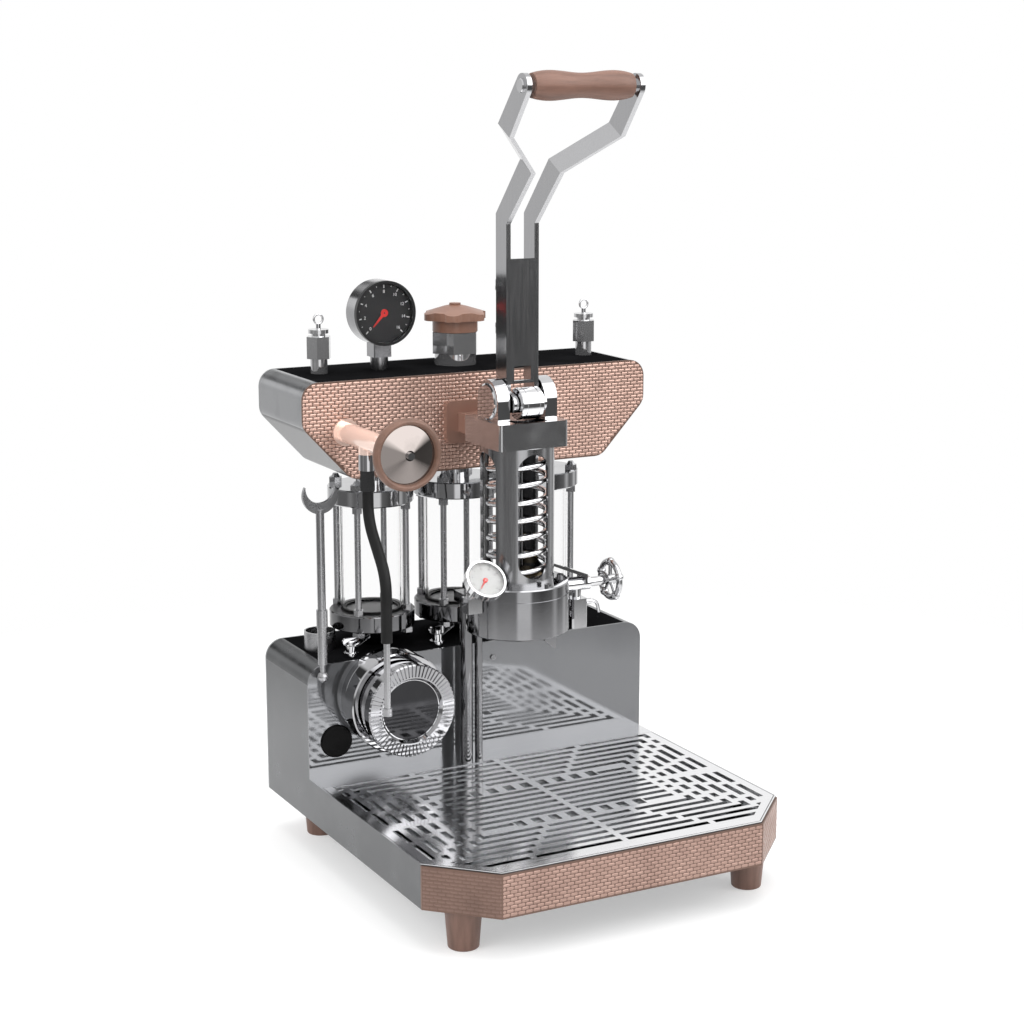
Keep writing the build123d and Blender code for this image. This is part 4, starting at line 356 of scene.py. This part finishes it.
def bump(tree, shader, height, strength, distance=0.0002):
    """Bump from a height into the shader's normal."""
    node = add_node(tree, "ShaderNodeBump", [
        ("Height", height), ("Strength", strength), ("Distance", distance)])
    tree.links.new(node.outputs[0], shader.inputs["Normal"])


def brushed(name, dark, light, low, high, stretch, strength=0.12):
    """Metal with fine brush lines along one direction."""
    material, tree, shader = new_material(name, Metallic=1.0)
    grain = place_grain(tree, dark, light, low, high, stretch)
    cover(tree, shader, grain.outputs["Color"], grain.outputs["Roughness"])
    bump(tree, shader, grain.outputs["Height"], strength)
    return material


def polished(name, tint, shade, clean, smeared, size=30.0, metal=1.0):
    """Polished metal with faint smears."""
    material, tree, shader = new_material(name, Metallic=metal)
    cover(tree, shader, *place_smudges(tree, tint, shade, clean, smeared, size))
    return material


def coated(name, tint, shade, clean, smeared, rubbed=None, **sockets):
    """Painted or moulded surface, with its edges rubbed where a colour is given."""
    material, tree, shader = new_material(name, **sockets)
    color, rough = place_smudges(tree, tint, shade, clean, smeared, size=24.0)
    if rubbed:
        color = mixed(tree, place(tree, RUB).outputs["Mask"], color, (*rubbed, 1.0))
    cover(tree, shader, color, rough)
    bump(tree, shader, place(tree, PEBBLE).outputs["Height"], strength=0.06)
    return material


def wooden(name, dark, light, stretch):
    """Stained wood with figure and pores."""
    material, tree, shader = new_material(name, Coat_Weight=0.12, Coat_Roughness=0.35)
    figure = place(tree, FIGURE, Stretch=stretch, Dark=(*dark, 1.0), Light=(*light, 1.0))
    cover(tree, shader, figure.outputs["Color"], figure.outputs["Roughness"])
    bump(tree, shader, figure.outputs["Height"], strength=0.25, distance=0.0003)
    return material


def slab(near, far, low, high):
    """Box over the machine's whole width, between two depths and two heights in millimetres."""
    return (-HALF_WIDTH, near, low), (HALF_WIDTH, far, high)


def zone_mask(tree, low, high):
    """Mask of a box given in millimetres."""
    corners = {"Low": [length * MM for length in low], "High": [length * MM for length in high]}
    return place(tree, ZONE, **corners).outputs["Mask"]


def blend_between(tree, mask, below, above):
    """Colour or number that changes where a mask is one."""
    if isinstance(above, tuple):
        return mixed(tree, mask, below, (*above, 1.0))
    return add_node(tree, "ShaderNodeMix", [("Factor", mask), (2, below), (3, above)]).outputs[0]


def pieced_metal(name, tint, shade, clean, smeared, zones):
    """Polished metal with zones, each a box with its own colour, metallic share and roughness."""
    material, tree, shader = new_material(name)
    color, rough = place_smudges(tree, tint, shade, clean, smeared, size=30.0)
    metal = 1.0
    for box, zone_color, zone_metal, zone_rough in zones:
        mask = zone_mask(tree, *box)
        color = blend_between(tree, mask, color, zone_color)
        rough = blend_between(tree, mask, rough, zone_rough)
        metal = blend_between(tree, mask, metal, zone_metal)
    cover(tree, shader, color, rough)
    tree.links.new(metal, shader.inputs["Metallic"])
    return material


def shaded_bore_steel(name, dark, light, inside, low, high):
    """Turned steel, with painted shade: near black inside the cylinder's bore."""
    material, tree, shader = new_material(name, Metallic=1.0)
    grain = place_grain(tree, dark, light, low, high, ALONG_Z)
    # Painted shade: near black within the bore's radius of the group's axis
    from_axis = vector(tree, "ADD", own_place(tree), (0.0, -GROUP_Y * MM, 0.0))
    reach = reach_of(tree, vector(tree, "MULTIPLY", from_axis, (1.0, 1.0, 0.0)))
    outside = ranged(tree, reach, BORE_SHADE_EDGE[0] * MM, BORE_SHADE_EDGE[1] * MM)
    color = mixed(tree, outside, (*inside, 1.0), grain.outputs["Color"])
    cover(tree, shader, color, grain.outputs["Roughness"])
    bump(tree, shader, grain.outputs["Height"], strength=0.1)
    return material


def printed_dials(name, black, white):
    """Matte dial paint, black on the large gauge and white on the small one."""
    material, tree, shader = new_material(name)
    color, rough = place_smudges(tree, white, white, 0.4, 0.55, size=60.0)
    mask = zone_mask(tree, *slab(0.0, FAR_Y, HOUSING_TOP, FAR_Z))
    cover(tree, shader, blend_between(tree, mask, color, black), rough)
    return material


def smeared_glass(name):
    """Clear glass with faint smears in its roughness."""
    material, tree, shader = new_material(name, Base_Color=WHITE, Transmission_Weight=1.0, IOR=1.08)
    smudges = place(tree, SMUDGES, Size=20.0, Clean=0.0, Smeared=0.03)
    tree.links.new(smudges.outputs["Roughness"], shader.inputs["Roughness"])
    return material


# Brush lines: coarse along one axis and fine across it
ALONG_X = (25.0, 700.0, 700.0)
ALONG_Y = (700.0, 25.0, 700.0)
ALONG_Z = (700.0, 700.0, 25.0)

# Finishes: two shades, and for all but the woods the lowest and the highest roughness
# The base's flat face at the tray's height is painted near white: a painted highlight
side_steel_painted_highlight = pieced_metal("side_steel_painted_highlight", (0.115, 0.118, 0.122), (0.15, 0.153, 0.158), 0.2, 0.3, [
    (slab(FRONT_Y, BEHIND_FRONT, TRAY_TOP - FACE_DEPTH, TRAY_TOP + FACE_DEPTH), (0.85, 0.85, 0.86), 1.0, 0.2)])
# The housing's sloping lower sides are painted near black: painted shade
housing_steel_painted_shade = pieced_metal("housing_steel_painted_shade", (0.385, 0.39, 0.4), (0.33, 0.335, 0.345), 0.2, 0.3, [
    (slab(TOWER_FRONT, FAR_Y, HOUSING_BOTTOM, HOUSING_SIDE_Z - ZONE_MARGIN), (0.075, 0.077, 0.08), 1.0, 0.24)])
tray_steel = brushed("tray_steel", (0.42, 0.43, 0.44), (0.55, 0.56, 0.57), 0.2, 0.32, ALONG_Y)
grille_steel = brushed(
    "grille_steel", (0.86, 0.86, 0.87), (0.93, 0.93, 0.94), 0.1, 0.16, ALONG_X, strength=0.02)
lever_steel = brushed(
    "lever_steel", (0.48, 0.48, 0.49), (0.52, 0.52, 0.53), 0.12, 0.18, ALONG_Z, strength=0.03)
# The group's neck, between the head's back and the tower's front, is painted copper: a painted reflection of
# the copper panel
group_steel_painted_reflection = pieced_metal("group_steel_painted_reflection", (0.62, 0.62, 0.63), (0.55, 0.55, 0.56), 0.16, 0.24, [
    (slab(HEAD_BACK, BEHIND_FRONT, HOUSING_BOTTOM, HOUSING_TOP), (0.36, 0.215, 0.168), 0.5, 0.26)])
bell_steel = polished("bell_steel", (0.33, 0.33, 0.34), (0.29, 0.29, 0.3), 0.08, 0.13)
tank_steel = brushed("tank_steel", (0.4, 0.4, 0.41), (0.5, 0.5, 0.51), 0.3, 0.42, ALONG_X)
cover_steel = brushed("cover_steel", (0.34, 0.35, 0.36), (0.42, 0.43, 0.44), 0.3, 0.42, ALONG_X)
# The rod inside the cylinder is painted dark: painted shade
rod_steel_painted_shade = brushed("rod_steel_painted_shade", (0.2, 0.2, 0.21), (0.28, 0.28, 0.29), 0.2, 0.3, ALONG_Z)
# The cylinder's bore is painted near black: painted shade
cylinder_steel_shaded_bore = shaded_bore_steel(
    "cylinder_steel_shaded_bore", (0.37, 0.37, 0.38), (0.42, 0.42, 0.43), (0.05, 0.05, 0.052), 0.15, 0.22)
front_mirror = polished(
    "front_mirror", (0.18, 0.183, 0.19), (0.16, 0.163, 0.17), 0.05, 0.1, size=14.0, metal=0.7)
chrome = polished("chrome", (0.66, 0.66, 0.67), (0.58, 0.58, 0.59), 0.05, 0.1)
dark_chrome = polished("dark_chrome", (0.54, 0.54, 0.55), (0.47, 0.47, 0.48), 0.06, 0.12)
fitting_chrome = polished("fitting_chrome", (0.66, 0.66, 0.67), (0.56, 0.56, 0.57), 0.05, 0.1, metal=0.87)
# The flanges' parts behind the tower's front are painted dark, and their flat face at the seat's height near
# black: painted shade
flange_chrome_painted_shade = pieced_metal("flange_chrome_painted_shade", (0.5, 0.5, 0.51), (0.44, 0.44, 0.45), 0.06, 0.12, [
    (slab(TOWER_FRONT, FAR_Y, TRAY_TOP, FLANGE_TOP), (0.16, 0.16, 0.165), 1.0, 0.08),
    (slab(TOWER_FRONT, FAR_Y, SEAT_Z - FACE_DEPTH, SEAT_Z + FACE_DEPTH), (0.02, 0.02, 0.021), 0.6, 0.3)])
collar_chrome = polished("collar_chrome", (0.46, 0.46, 0.47), (0.4, 0.4, 0.41), 0.03, 0.06)
ring_chrome = polished("ring_chrome", (0.34, 0.34, 0.35), (0.29, 0.29, 0.3), 0.04, 0.08)
post_chrome = polished("post_chrome", (0.17, 0.17, 0.175), (0.145, 0.145, 0.15), 0.06, 0.12)
screw_steel = polished("screw_steel", (0.2, 0.2, 0.205), (0.16, 0.16, 0.165), 0.2, 0.3)
satin_chrome = polished("satin_chrome", (0.4, 0.4, 0.41), (0.34, 0.34, 0.35), 0.24, 0.34)
bright_mirror = polished("bright_mirror", (0.25, 0.222, 0.21), (0.2, 0.178, 0.168), 0.02, 0.06)
disc_mirror = polished("disc_mirror", (0.035, 0.035, 0.037), (0.028, 0.028, 0.03), 0.05, 0.1)
spring_steel = polished("spring_steel", (0.72, 0.72, 0.73), (0.64, 0.64, 0.65), 0.1, 0.18)
brass = polished("brass", (0.6, 0.45, 0.2), (0.5, 0.36, 0.15), 0.15, 0.25)
copper_cover = coated(
    "copper_cover", (0.49, 0.318, 0.262), (0.37, 0.235, 0.19), 0.24, 0.4, (0.66, 0.45, 0.37), Metallic=0.55)
copper_band = coated(
    "copper_band", (0.36, 0.232, 0.19), (0.28, 0.175, 0.142), 0.28, 0.42, (0.46, 0.31, 0.26), Metallic=0.5)
# The band's left corner is the band's copper painted darker: painted shade
copper_band_painted_shade = coated(
    "copper_band_painted_shade", (0.19, 0.118, 0.094), (0.14, 0.086, 0.068), 0.28, 0.42, (0.27, 0.175, 0.145), Metallic=0.5)
# The copper under and between the weave's scales is painted dark: painted shade
copper_ground_painted_shade = coated("copper_ground_painted_shade", (0.15, 0.088, 0.066), (0.11, 0.062, 0.046), 0.4, 0.5, Metallic=0.3)
black_sheet = coated(
    "black_sheet", (0.007, 0.007, 0.0075), (0.011, 0.011, 0.012), 0.4, 0.5, Specular_IOR_Level=0.0)
black_rubber = coated(
    "black_rubber", (0.008, 0.008, 0.008), (0.013, 0.013, 0.013), 0.5, 0.62, Specular_IOR_Level=0.2)
black_gloss = coated(
    "black_gloss", (0.003, 0.003, 0.003), (0.006, 0.006, 0.006), 0.14, 0.22, Specular_IOR_Level=0.05)
needle_red = coated("needle_red", (0.52, 0.022, 0.018), (0.44, 0.018, 0.015), 0.35, 0.45)
roller_chrome = polished("roller_chrome", (0.8, 0.8, 0.81), (0.72, 0.72, 0.73), 0.05, 0.1)
cap_brown = coated(
    "cap_brown", (0.235, 0.118, 0.08), (0.18, 0.088, 0.06), 0.34, 0.46, (0.3, 0.165, 0.118), Coat_Weight=0.1)
grip_wood = wooden("grip_wood", (0.13, 0.066, 0.046), (0.22, 0.115, 0.083), (18.0, 190.0, 190.0))
foot_wood = wooden("foot_wood", (0.1, 0.052, 0.036), (0.17, 0.09, 0.066), (190.0, 190.0, 20.0))
rim_wood = wooden("rim_wood", (0.12, 0.063, 0.042), (0.2, 0.107, 0.076), (60.0, 60.0, 60.0))
print_white = coated("print_white", (0.62, 0.62, 0.62), (0.52, 0.52, 0.52), 0.45, 0.55)
print_black = coated("print_black", (0.06, 0.06, 0.06), (0.1, 0.1, 0.1), 0.45, 0.55)
dial_faces = printed_dials("dial_faces", (0.008, 0.008, 0.009), (0.36, 0.36, 0.355))
case_finish = pieced_metal("case_finish", (0.46, 0.46, 0.47), (0.4, 0.4, 0.41), 0.14, 0.2, [
    (slab(0.0, GAUGE_FACE[1] + GAUGE_DIAL_DEPTH, HOUSING_TOP, FAR_Z), (0.02, 0.02, 0.021), 0.3, 0.3)])
vent_finish = pieced_metal("vent_finish", (0.5, 0.5, 0.51), (0.42, 0.42, 0.43), 0.06, 0.12, [
    (slab(0.0, FAR_Y, VENT_BLACK[0] + ZONE_MARGIN, VENT_BLACK[1] - ZONE_MARGIN),
     (0.008, 0.008, 0.008), 0.0, 0.35),
    (slab(0.0, FITTING_Y - VENT_RADIUS - DOT_OFF, *VENT_DOT), (0.6, 0.02, 0.02), 0.0, 0.4)])
valve_finish = pieced_metal("valve_finish", (0.6, 0.6, 0.61), (0.52, 0.52, 0.53), 0.05, 0.1, [
    (slab(0.0, HALF_WIDTH, FERRULE[0] - ZONE_MARGIN, FERRULE[1]), (0.16, 0.16, 0.165), 1.0, 0.2),
    (slab(STEAM_PIPE_END, TOWER_FRONT, STEAM_Z - STEAM_RADIUS, STEAM_Z + STEAM_RADIUS),
     (1.0, 0.76, 0.66), 0.55, 0.14)])
clear_glass = smeared_glass("clear_glass")

FINISHES = {
    "base_shell": side_steel_painted_highlight, "upper_shell": housing_steel_painted_shade, "woven_panels": copper_ground_painted_shade, "feet": foot_wood,
    "tower_front_panel": front_mirror, "top_plates": black_sheet, "rear_covers": cover_steel,
    "water_tanks": tank_steel, "tank_fittings": tank_steel, "column_flanges": flange_chrome_painted_shade,
    "tie_rods": satin_chrome, "glasses": clear_glass, "rubber_rings": black_rubber, "tap_bodies": chrome,
    "tower_cup": satin_chrome, "fork_post": satin_chrome, "group_head": group_steel_painted_reflection,
    "spring_cylinder": cylinder_steel_shaded_bore, "bell": bell_steel, "cheeks": chrome, "pivot_studs": chrome,
    "shower_screen": tray_steel, "support_posts": post_chrome, "gauge_case": case_finish,
    "small_gauge_case": chrome, "gauge_dials": dial_faces, "safety_valves": fitting_chrome,
    "vent_valve": vent_finish, "fill_neck": fitting_chrome, "steam_valve": valve_finish, "side_valve": chrome,
    "hatch_collar": collar_chrome, "hatch_disc": disc_mirror, "switch_body": black_rubber,
    "screws": screw_steel, "lever_fork": lever_steel, "lever_grip": grip_wood, "lever_pins": chrome,
    "lever_roller": roller_chrome, "spring_rod": rod_steel_painted_shade, "piston": brass, "piston_seals": black_rubber,
    "steam_wheel": bright_mirror, "steam_wheel_rim": rim_wood, "wand_tube": satin_chrome,
    "wand_sleeve": black_rubber, "side_wheel": dark_chrome, "gauge_pointer": needle_red,
    "small_gauge_pointer": needle_red, "fill_cap": cap_brown, "tap_handle_left": chrome,
    "tap_handle_middle": chrome, "tap_handle_right": chrome, "valve_ring_left": chrome,
    "valve_ring_right": chrome, "lock_ring": ring_chrome, "power_button": black_gloss, "drip_pan": tray_steel,
    "grille": grille_steel,
}
for node_name, finish in FINISHES.items():
    for material_slot in nodes[node_name].material_slots:
        material_slot.material = finish


def new_piece(name, mesh, material, body):
    """Object for a mesh in millimetres, riding on a body."""
    data = bpy.data.meshes.new(name)
    mesh.transform(Matrix.Scale(MM, 4))
    mesh.to_mesh(data)
    mesh.free()
    data.materials.append(material)
    piece = bpy.data.objects.new(name, data)
    bpy.context.scene.collection.objects.link(piece)
    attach(piece, body)
    return piece


def wind_spring():
    """One round wire wound up the cylinder."""
    low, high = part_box("spring")
    bottom, top = low.z / MM + SPRING_WIRE / 2, high.z / MM - SPRING_WIRE / 2
    mesh = bmesh.new()
    rings = []
    for step in range(round(SPRING_TURNS * SPRING_STEPS) + 1):
        turned = step / SPRING_STEPS
        angle = radians(SPRING_START) + 2 * pi * turned
        outward = Vector((cos(angle), sin(angle), 0.0))
        rise = bottom + (top - bottom) * turned / SPRING_TURNS
        centre = outward * SPRING_RADIUS + Vector((0.0, GROUP_Y, rise))
        ring = []
        for side in range(SPRING_SIDES):
            round_wire = 2 * pi * side / SPRING_SIDES
            offset = outward * cos(round_wire) + Vector((0.0, 0.0, sin(round_wire)))
            ring.append(mesh.verts.new(centre + offset * SPRING_WIRE / 2))
        rings.append(ring)
    for ring, above in zip(rings, rings[1:]):
        for side in range(SPRING_SIDES):
            onward = (side + 1) % SPRING_SIDES
            mesh.faces.new((ring[side], ring[onward], above[onward], above[side]))
    mesh.faces.new(rings[0])
    mesh.faces.new(rings[-1])
    bmesh.ops.recalc_face_normals(mesh, faces=mesh.faces)
    for face in mesh.faces:
        face.smooth = len(face.verts) == 4
    coil = new_piece("coil_spring", mesh, spring_steel, "frame")
    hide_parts("spring")
    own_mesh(coil)


def add_scale(mesh, corner, across, outward, length, height, hand):
    """One crowned scale of the weave: a low eight-sided pillow, each a little different."""
    nip = min(length, height) * SCALE_NIP
    rim = [(nip, 0), (length - nip, 0), (length, nip), (length, height - nip),
           (length - nip, height), (nip, height), (0, height - nip), (0, nip)]
    inset_x, inset_z = (nip * share for share in CROWN_INSET)
    crown = [(inset_x, inset_z), (length - inset_x, inset_z),
             (length - inset_x, height - inset_z), (inset_x, height - inset_z)]
    low = [mesh.verts.new(corner + across * x + UP * z + outward * WEAVE_SEAT) for x, z in rim]
    high = []
    for x, z in crown:
        proud = WEAVE_CROWN + hand.uniform(-1, 1) * WEAVE_WANDER
        high.append(mesh.verts.new(corner + across * x + UP * z + outward * proud))
    mesh.faces.new(high)
    for start in range(4):
        first, second = low[2 * start], low[2 * start + 1]
        third = low[(2 * start + 2) % 8]
        mesh.faces.new((first, second, high[(start + 1) % 4], high[start]))
        mesh.faces.new((second, third, high[(start + 1) % 4]))


def housing_half(z):
    """Half the width of the upper front panel at a height."""
    if z < HOUSING_SIDE_Z:
        slope = (HALF_WIDTH - HOUSING_FLOOR_HALF) / (HOUSING_SIDE_Z - HOUSING_BOTTOM)
        return HOUSING_FLOOR_HALF + (z - HOUSING_BOTTOM) * slope
    over = z - HOUSING_TOP + HOUSING_CORNER
    if over > 0:
        return HALF_WIDTH - HOUSING_CORNER + (HOUSING_CORNER ** 2 - over ** 2) ** 0.5
    return HALF_WIDTH


def weave_sheet(name, centre, across, outward, bottom, top, half_at, finish):
    """Rows of staggered scales over a flat panel, trimmed to its half width at each height."""
    mesh = bmesh.new()
    hand = Random(WEAVE_SEED)
    rows = int((top - bottom - 2 * WEAVE_MARGIN + WEAVE_GAP) / WEAVE_HEIGHT)
    start = (top + bottom - rows * WEAVE_HEIGHT + WEAVE_GAP) / 2
    for row in range(rows):
        low = start + row * WEAVE_HEIGHT
        high = low + WEAVE_HEIGHT - WEAVE_GAP
        half = min(half_at(low), half_at(high)) - WEAVE_MARGIN
        shift = WEAVE_LENGTH / 2 if row % 2 else 0.0
        for column in range(-ceil(half / WEAVE_LENGTH) - 1, ceil(half / WEAVE_LENGTH) + 1):
            left = max(column * WEAVE_LENGTH + shift, -half)
            right = min(column * WEAVE_LENGTH + shift + WEAVE_LENGTH - WEAVE_GAP, half)
            if right - left > WEAVE_HEIGHT / 2:
                corner = centre + across * left + UP * low
                add_scale(mesh, corner, across, outward, right - left, high - low, hand)
    bmesh.ops.recalc_face_normals(mesh, faces=mesh.faces)
    piece = new_piece(name, mesh, finish, "frame")
    for polygon in piece.data.polygons:
        polygon.use_smooth = True


def dial_basis(face, tilt, depth):
    """Matrix from dial coordinates (right, up, out) in millimetres to the model."""
    out = Vector((0.0, -cos(tilt), sin(tilt)))
    up = Vector((0.0, sin(tilt), cos(tilt)))
    origin = Vector(face) - out * depth
    return Matrix((
        (1.0, up.x, out.x, origin.x),
        (0.0, up.y, out.y, origin.y),
        (0.0, up.z, out.z, origin.z),
        (0.0, 0.0, 0.0, 1.0),
    ))


def add_mark(mesh, angle, inner, outer, width):
    """Raised tick on a dial."""
    way = Vector((cos(angle), sin(angle), 0.0))
    side = Vector((-sin(angle), cos(angle), 0.0)) * width / 2
    low = [way * inner - side, way * outer - side, way * outer + side, way * inner + side]
    base = [mesh.verts.new(point) for point in low]
    top = [mesh.verts.new(point + UP * TICK_HEIGHT) for point in low]
    mesh.faces.new(top)
    for here in range(4):
        there = (here + 1) % 4
        mesh.faces.new((base[here], base[there], top[there], top[here]))


def add_figures(mesh, figures, centre, size):
    """Flat raised figures from Blender's own type, centred on a point."""
    curve = bpy.data.curves.new("figures", "FONT")
    curve.body = figures
    curve.size = size
    curve.align_x = "CENTER"
    curve.align_y = "CENTER"
    curve.extrude = FIGURE_HEIGHT
    holder = bpy.data.objects.new("figures", curve)
    bpy.context.scene.collection.objects.link(holder)
    solid = bpy.data.meshes.new_from_object(holder.evaluated_get(bpy.context.evaluated_depsgraph_get()))
    solid.transform(Matrix.Translation((*centre, FIGURE_HEIGHT)))
    mesh.from_mesh(solid)
    bpy.data.objects.remove(holder)
    bpy.data.curves.remove(curve)
    bpy.data.meshes.remove(solid)


def dial_print(name, basis, radius, figure_size, material):
    """Ticks and figures of a dial."""
    mesh = bmesh.new()
    for mark in range(DIAL_MAJOR * DIAL_MINOR + 1):
        angle = radians(DIAL_START - DIAL_SWEEP * mark / (DIAL_MAJOR * DIAL_MINOR))
        major = mark % DIAL_MINOR == 0
        inner, width = LONG_TICK if major else SHORT_TICK
        add_mark(mesh, angle, radius * inner, radius * TICK_END, radius * width)
        if major:
            centre = (cos(angle) * radius * FIGURE_REACH, sin(angle) * radius * FIGURE_REACH)
            add_figures(mesh, str(mark // DIAL_MINOR * FIGURE_STEP), centre, radius * figure_size)
    mesh.transform(basis)
    new_piece(name, mesh, material, "frame")


wind_spring()
weave_sheet("housing_weave", Vector((0.0, TOWER_FRONT, 0.0)), RIGHT, TOWARDS, HOUSING_BOTTOM, HOUSING_TOP,
            housing_half, copper_cover)
weave_sheet("band_weave_front", Vector((0.0, FRONT_Y, 0.0)), RIGHT, TOWARDS, FOOT_TOP, BAND_TOP,
            lambda z: HALF_WIDTH - CORNER_CUT, copper_band)
# The left corner takes the darker copper, a painted shade
for side, label, finish in ((-1, "left", copper_band_painted_shade), (1, "right", copper_band)):
    corner_middle = Vector((side * (HALF_WIDTH - CORNER_CUT / 2), FRONT_Y + CORNER_CUT / 2, 0.0))
    weave_sheet(
        f"band_weave_{label}", corner_middle, Vector((side, 1.0, 0.0)).normalized(),
        Vector((side, -1.0, 0.0)).normalized(), FOOT_TOP, BAND_TOP, lambda z: CORNER_CUT / 2 ** 0.5, finish)
dial_print("gauge_print", dial_basis(GAUGE_FACE, 0.0, GAUGE_DIAL_DEPTH),
           GAUGE_DIAL_RADIUS, GAUGE_FIGURE, print_white)
dial_print("small_gauge_print", dial_basis(SMALL_FACE, radians(SMALL_TILT), SMALL_DIAL_DEPTH),
           SMALL_DIAL_RADIUS, SMALL_FIGURE, print_black)

# Floor, in metres: half its side, and where it starts to fade and is gone
FLOOR_HALF = 1.5
FLOOR_SOLID = 0.55
FLOOR_GONE = 1.05

# Soft lights: name, place, side of the square and power, all aimed at the middle of the machine
SOFTBOXES = [
    ("softbox_left", (-2.2, -0.6, 1.6), 1.6, 28.0),
    ("softbox_right", (1.9, -1.5, 1.7), 1.4, 22.0),
    ("softbox_top", (0.2, 0.3, 2.4), 2.0, 26.0),
]
LIGHT_AIM = (0.0, 0.0, 0.3)

# Light and dark walls that gloss sees, by share of a turn from the left side over the front
STUDIO_WALLS = [
    (0.0, 0.2), (0.03, 0.35), (0.06, 0.2), (0.165, 0.24), (0.18, 1.1), (0.25, 1.1), (0.268, 0.2), (0.33, 0.09),
    (0.4, 0.2), (0.43, 0.7), (0.46, 0.2), (0.5, 0.3), (0.53, 0.8), (0.57, 0.25), (0.61, 0.95), (0.74, 1.0),
    (0.79, 0.72), (0.87, 0.7), (0.92, 0.18),
]
# Light overhead that gloss sees: its level, a dark beam by height and by share of a turn, and the brighter
# softbox in front with its level
CEILING_LEVEL = 0.96
BEAM_HEIGHT = [(0.0, 0.96), (0.27, 0.96), (0.29, 0.06), (0.4, 0.06), (0.43, 0.96), (1.0, 0.96)]
CEILING_BEAM = [(0.0, 0.0), (0.69, 0.0), (0.71, 1.0), (0.93, 1.0), (0.96, 0.0)]
FRONT_SOFTBOX = [(0.0, 0.0), (0.2, 0.0), (0.24, 1.0), (0.44, 1.0), (0.5, 0.0)]
FRONT_LEVEL = 3.4

# Soft light on dull surfaces, and the height at which the walls give way to the light overhead
AMBIENT_LEVEL = 0.95
WALL_TOP = 0.12

# Camera: angles in degrees, place, lens and sensor in millimetres
CAMERA_AZIMUTH = -28.02
CAMERA_ELEVATION = 11.84
CAMERA_PLACE = (-878.2, -1622.1, 719.3)
CAMERA_LENS = 72.74
CAMERA_SENSOR = 36.0


def build_floor():
    """Pale floor under the machine, which fades into the white backdrop."""
    mesh = bmesh.new()
    bmesh.ops.create_grid(mesh, x_segments=1, y_segments=1, size=FLOOR_HALF)
    data = bpy.data.meshes.new("floor")
    mesh.to_mesh(data)
    mesh.free()
    floor = bpy.data.objects.new("floor", data)
    bpy.context.scene.collection.objects.link(floor)
    material, tree, shader = new_material(
        "floor_white", Base_Color=grey(0.6), Roughness=0.8, Emission_Color=WHITE, Emission_Strength=0.4)
    fade = ranged(tree, reach_of(tree, own_place(tree)), FLOOR_SOLID, FLOOR_GONE, 1.0, 0.0)
    tree.links.new(fade, shader.inputs["Alpha"])
    data.materials.append(material)


def stepped(tree, value, stops):
    """Grey level that follows a value through the given stops."""
    ramp = add_node(tree, "ShaderNodeValToRGB", [("Fac", value)])
    elements = ramp.color_ramp.elements
    elements.remove(elements[1])
    elements[0].position = stops[0][0]
    elements[0].color = grey(stops[0][1])
    for position, level in stops[1:]:
        elements.new(position).color = grey(level)
    return ramp.outputs[0]


def build_world():
    """White backdrop for the eye, soft light for dull surfaces, and light and dark walls for gloss."""
    world = bpy.data.worlds.new("studio")
    bpy.context.scene.world = world
    world.use_nodes = True
    tree = world.node_tree
    tree.nodes.clear()
    output = tree.nodes.new("ShaderNodeOutputWorld")
    path = tree.nodes.new("ShaderNodeLightPath")
    coordinates = add_node(tree, "ShaderNodeTexCoord")
    axes = add_node(tree, "ShaderNodeSeparateXYZ", [(0, coordinates.outputs["Generated"])])
    turn_share = ranged(tree, number(tree, "ARCTAN2", axes.outputs["Y"], axes.outputs["X"]), -pi, pi)
    beam = stepped(tree, axes.outputs["Z"], BEAM_HEIGHT)
    ceiling = mixed(tree, stepped(tree, turn_share, CEILING_BEAM), grey(CEILING_LEVEL), beam)
    above = mixed(tree, stepped(tree, turn_share, FRONT_SOFTBOX), ceiling, grey(FRONT_LEVEL))
    overhead = ranged(tree, axes.outputs["Z"], 0.0, WALL_TOP)
    dome = mixed(tree, overhead, stepped(tree, turn_share, STUDIO_WALLS), above)
    ambient = add_node(tree, "ShaderNodeBackground", [("Color", WHITE), ("Strength", AMBIENT_LEVEL)])
    gloss = add_node(tree, "ShaderNodeBackground", [("Color", dome), ("Strength", 1.0)])
    backdrop = add_node(tree, "ShaderNodeBackground", [("Color", WHITE), ("Strength", 1.0)])
    dull_or_gloss = add_node(tree, "ShaderNodeMixShader", [
        (0, path.outputs["Is Glossy Ray"]), (1, ambient.outputs[0]), (2, gloss.outputs[0])])
    all_rays = add_node(tree, "ShaderNodeMixShader", [
        (0, path.outputs["Is Camera Ray"]), (1, dull_or_gloss.outputs[0]), (2, backdrop.outputs[0])])
    tree.links.new(all_rays.outputs[0], output.inputs["Surface"])


def build_camera():
    """Camera at the photograph's place and angle."""
    azimuth, elevation = radians(CAMERA_AZIMUTH), radians(CAMERA_ELEVATION)
    back = Vector((sin(azimuth) * cos(elevation), -cos(azimuth) * cos(elevation), sin(elevation)))
    right = Vector((cos(azimuth), sin(azimuth), 0.0))
    up = back.cross(right)
    camera = bpy.data.objects.new("camera", bpy.data.cameras.new("camera"))
    camera.data.lens = CAMERA_LENS
    camera.data.sensor_width = CAMERA_SENSOR
    basis = Matrix((right, up, back)).transposed().to_4x4()
    camera.matrix_world = Matrix.Translation(Vector(CAMERA_PLACE) * MM) @ basis
    bpy.context.scene.collection.objects.link(camera)
    bpy.context.scene.camera = camera


def add_softbox(name, spot, side, power):
    """Square soft light aimed at the middle of the machine."""
    light = bpy.data.lights.new(name, "AREA")
    light.shape = "RECTANGLE"
    light.size = side
    light.size_y = side
    light.energy = power
    lamp = bpy.data.objects.new(name, light)
    lamp.location = spot
    lamp.rotation_euler = (Vector(LIGHT_AIM) - Vector(spot)).to_track_quat("-Z", "Y").to_euler()
    lamp.visible_glossy = False
    bpy.context.scene.collection.objects.link(lamp)


build_floor()
build_world()
build_camera()
for softbox in SOFTBOXES:
    add_softbox(*softbox)
bpy.context.scene.view_settings.view_transform = "Standard"
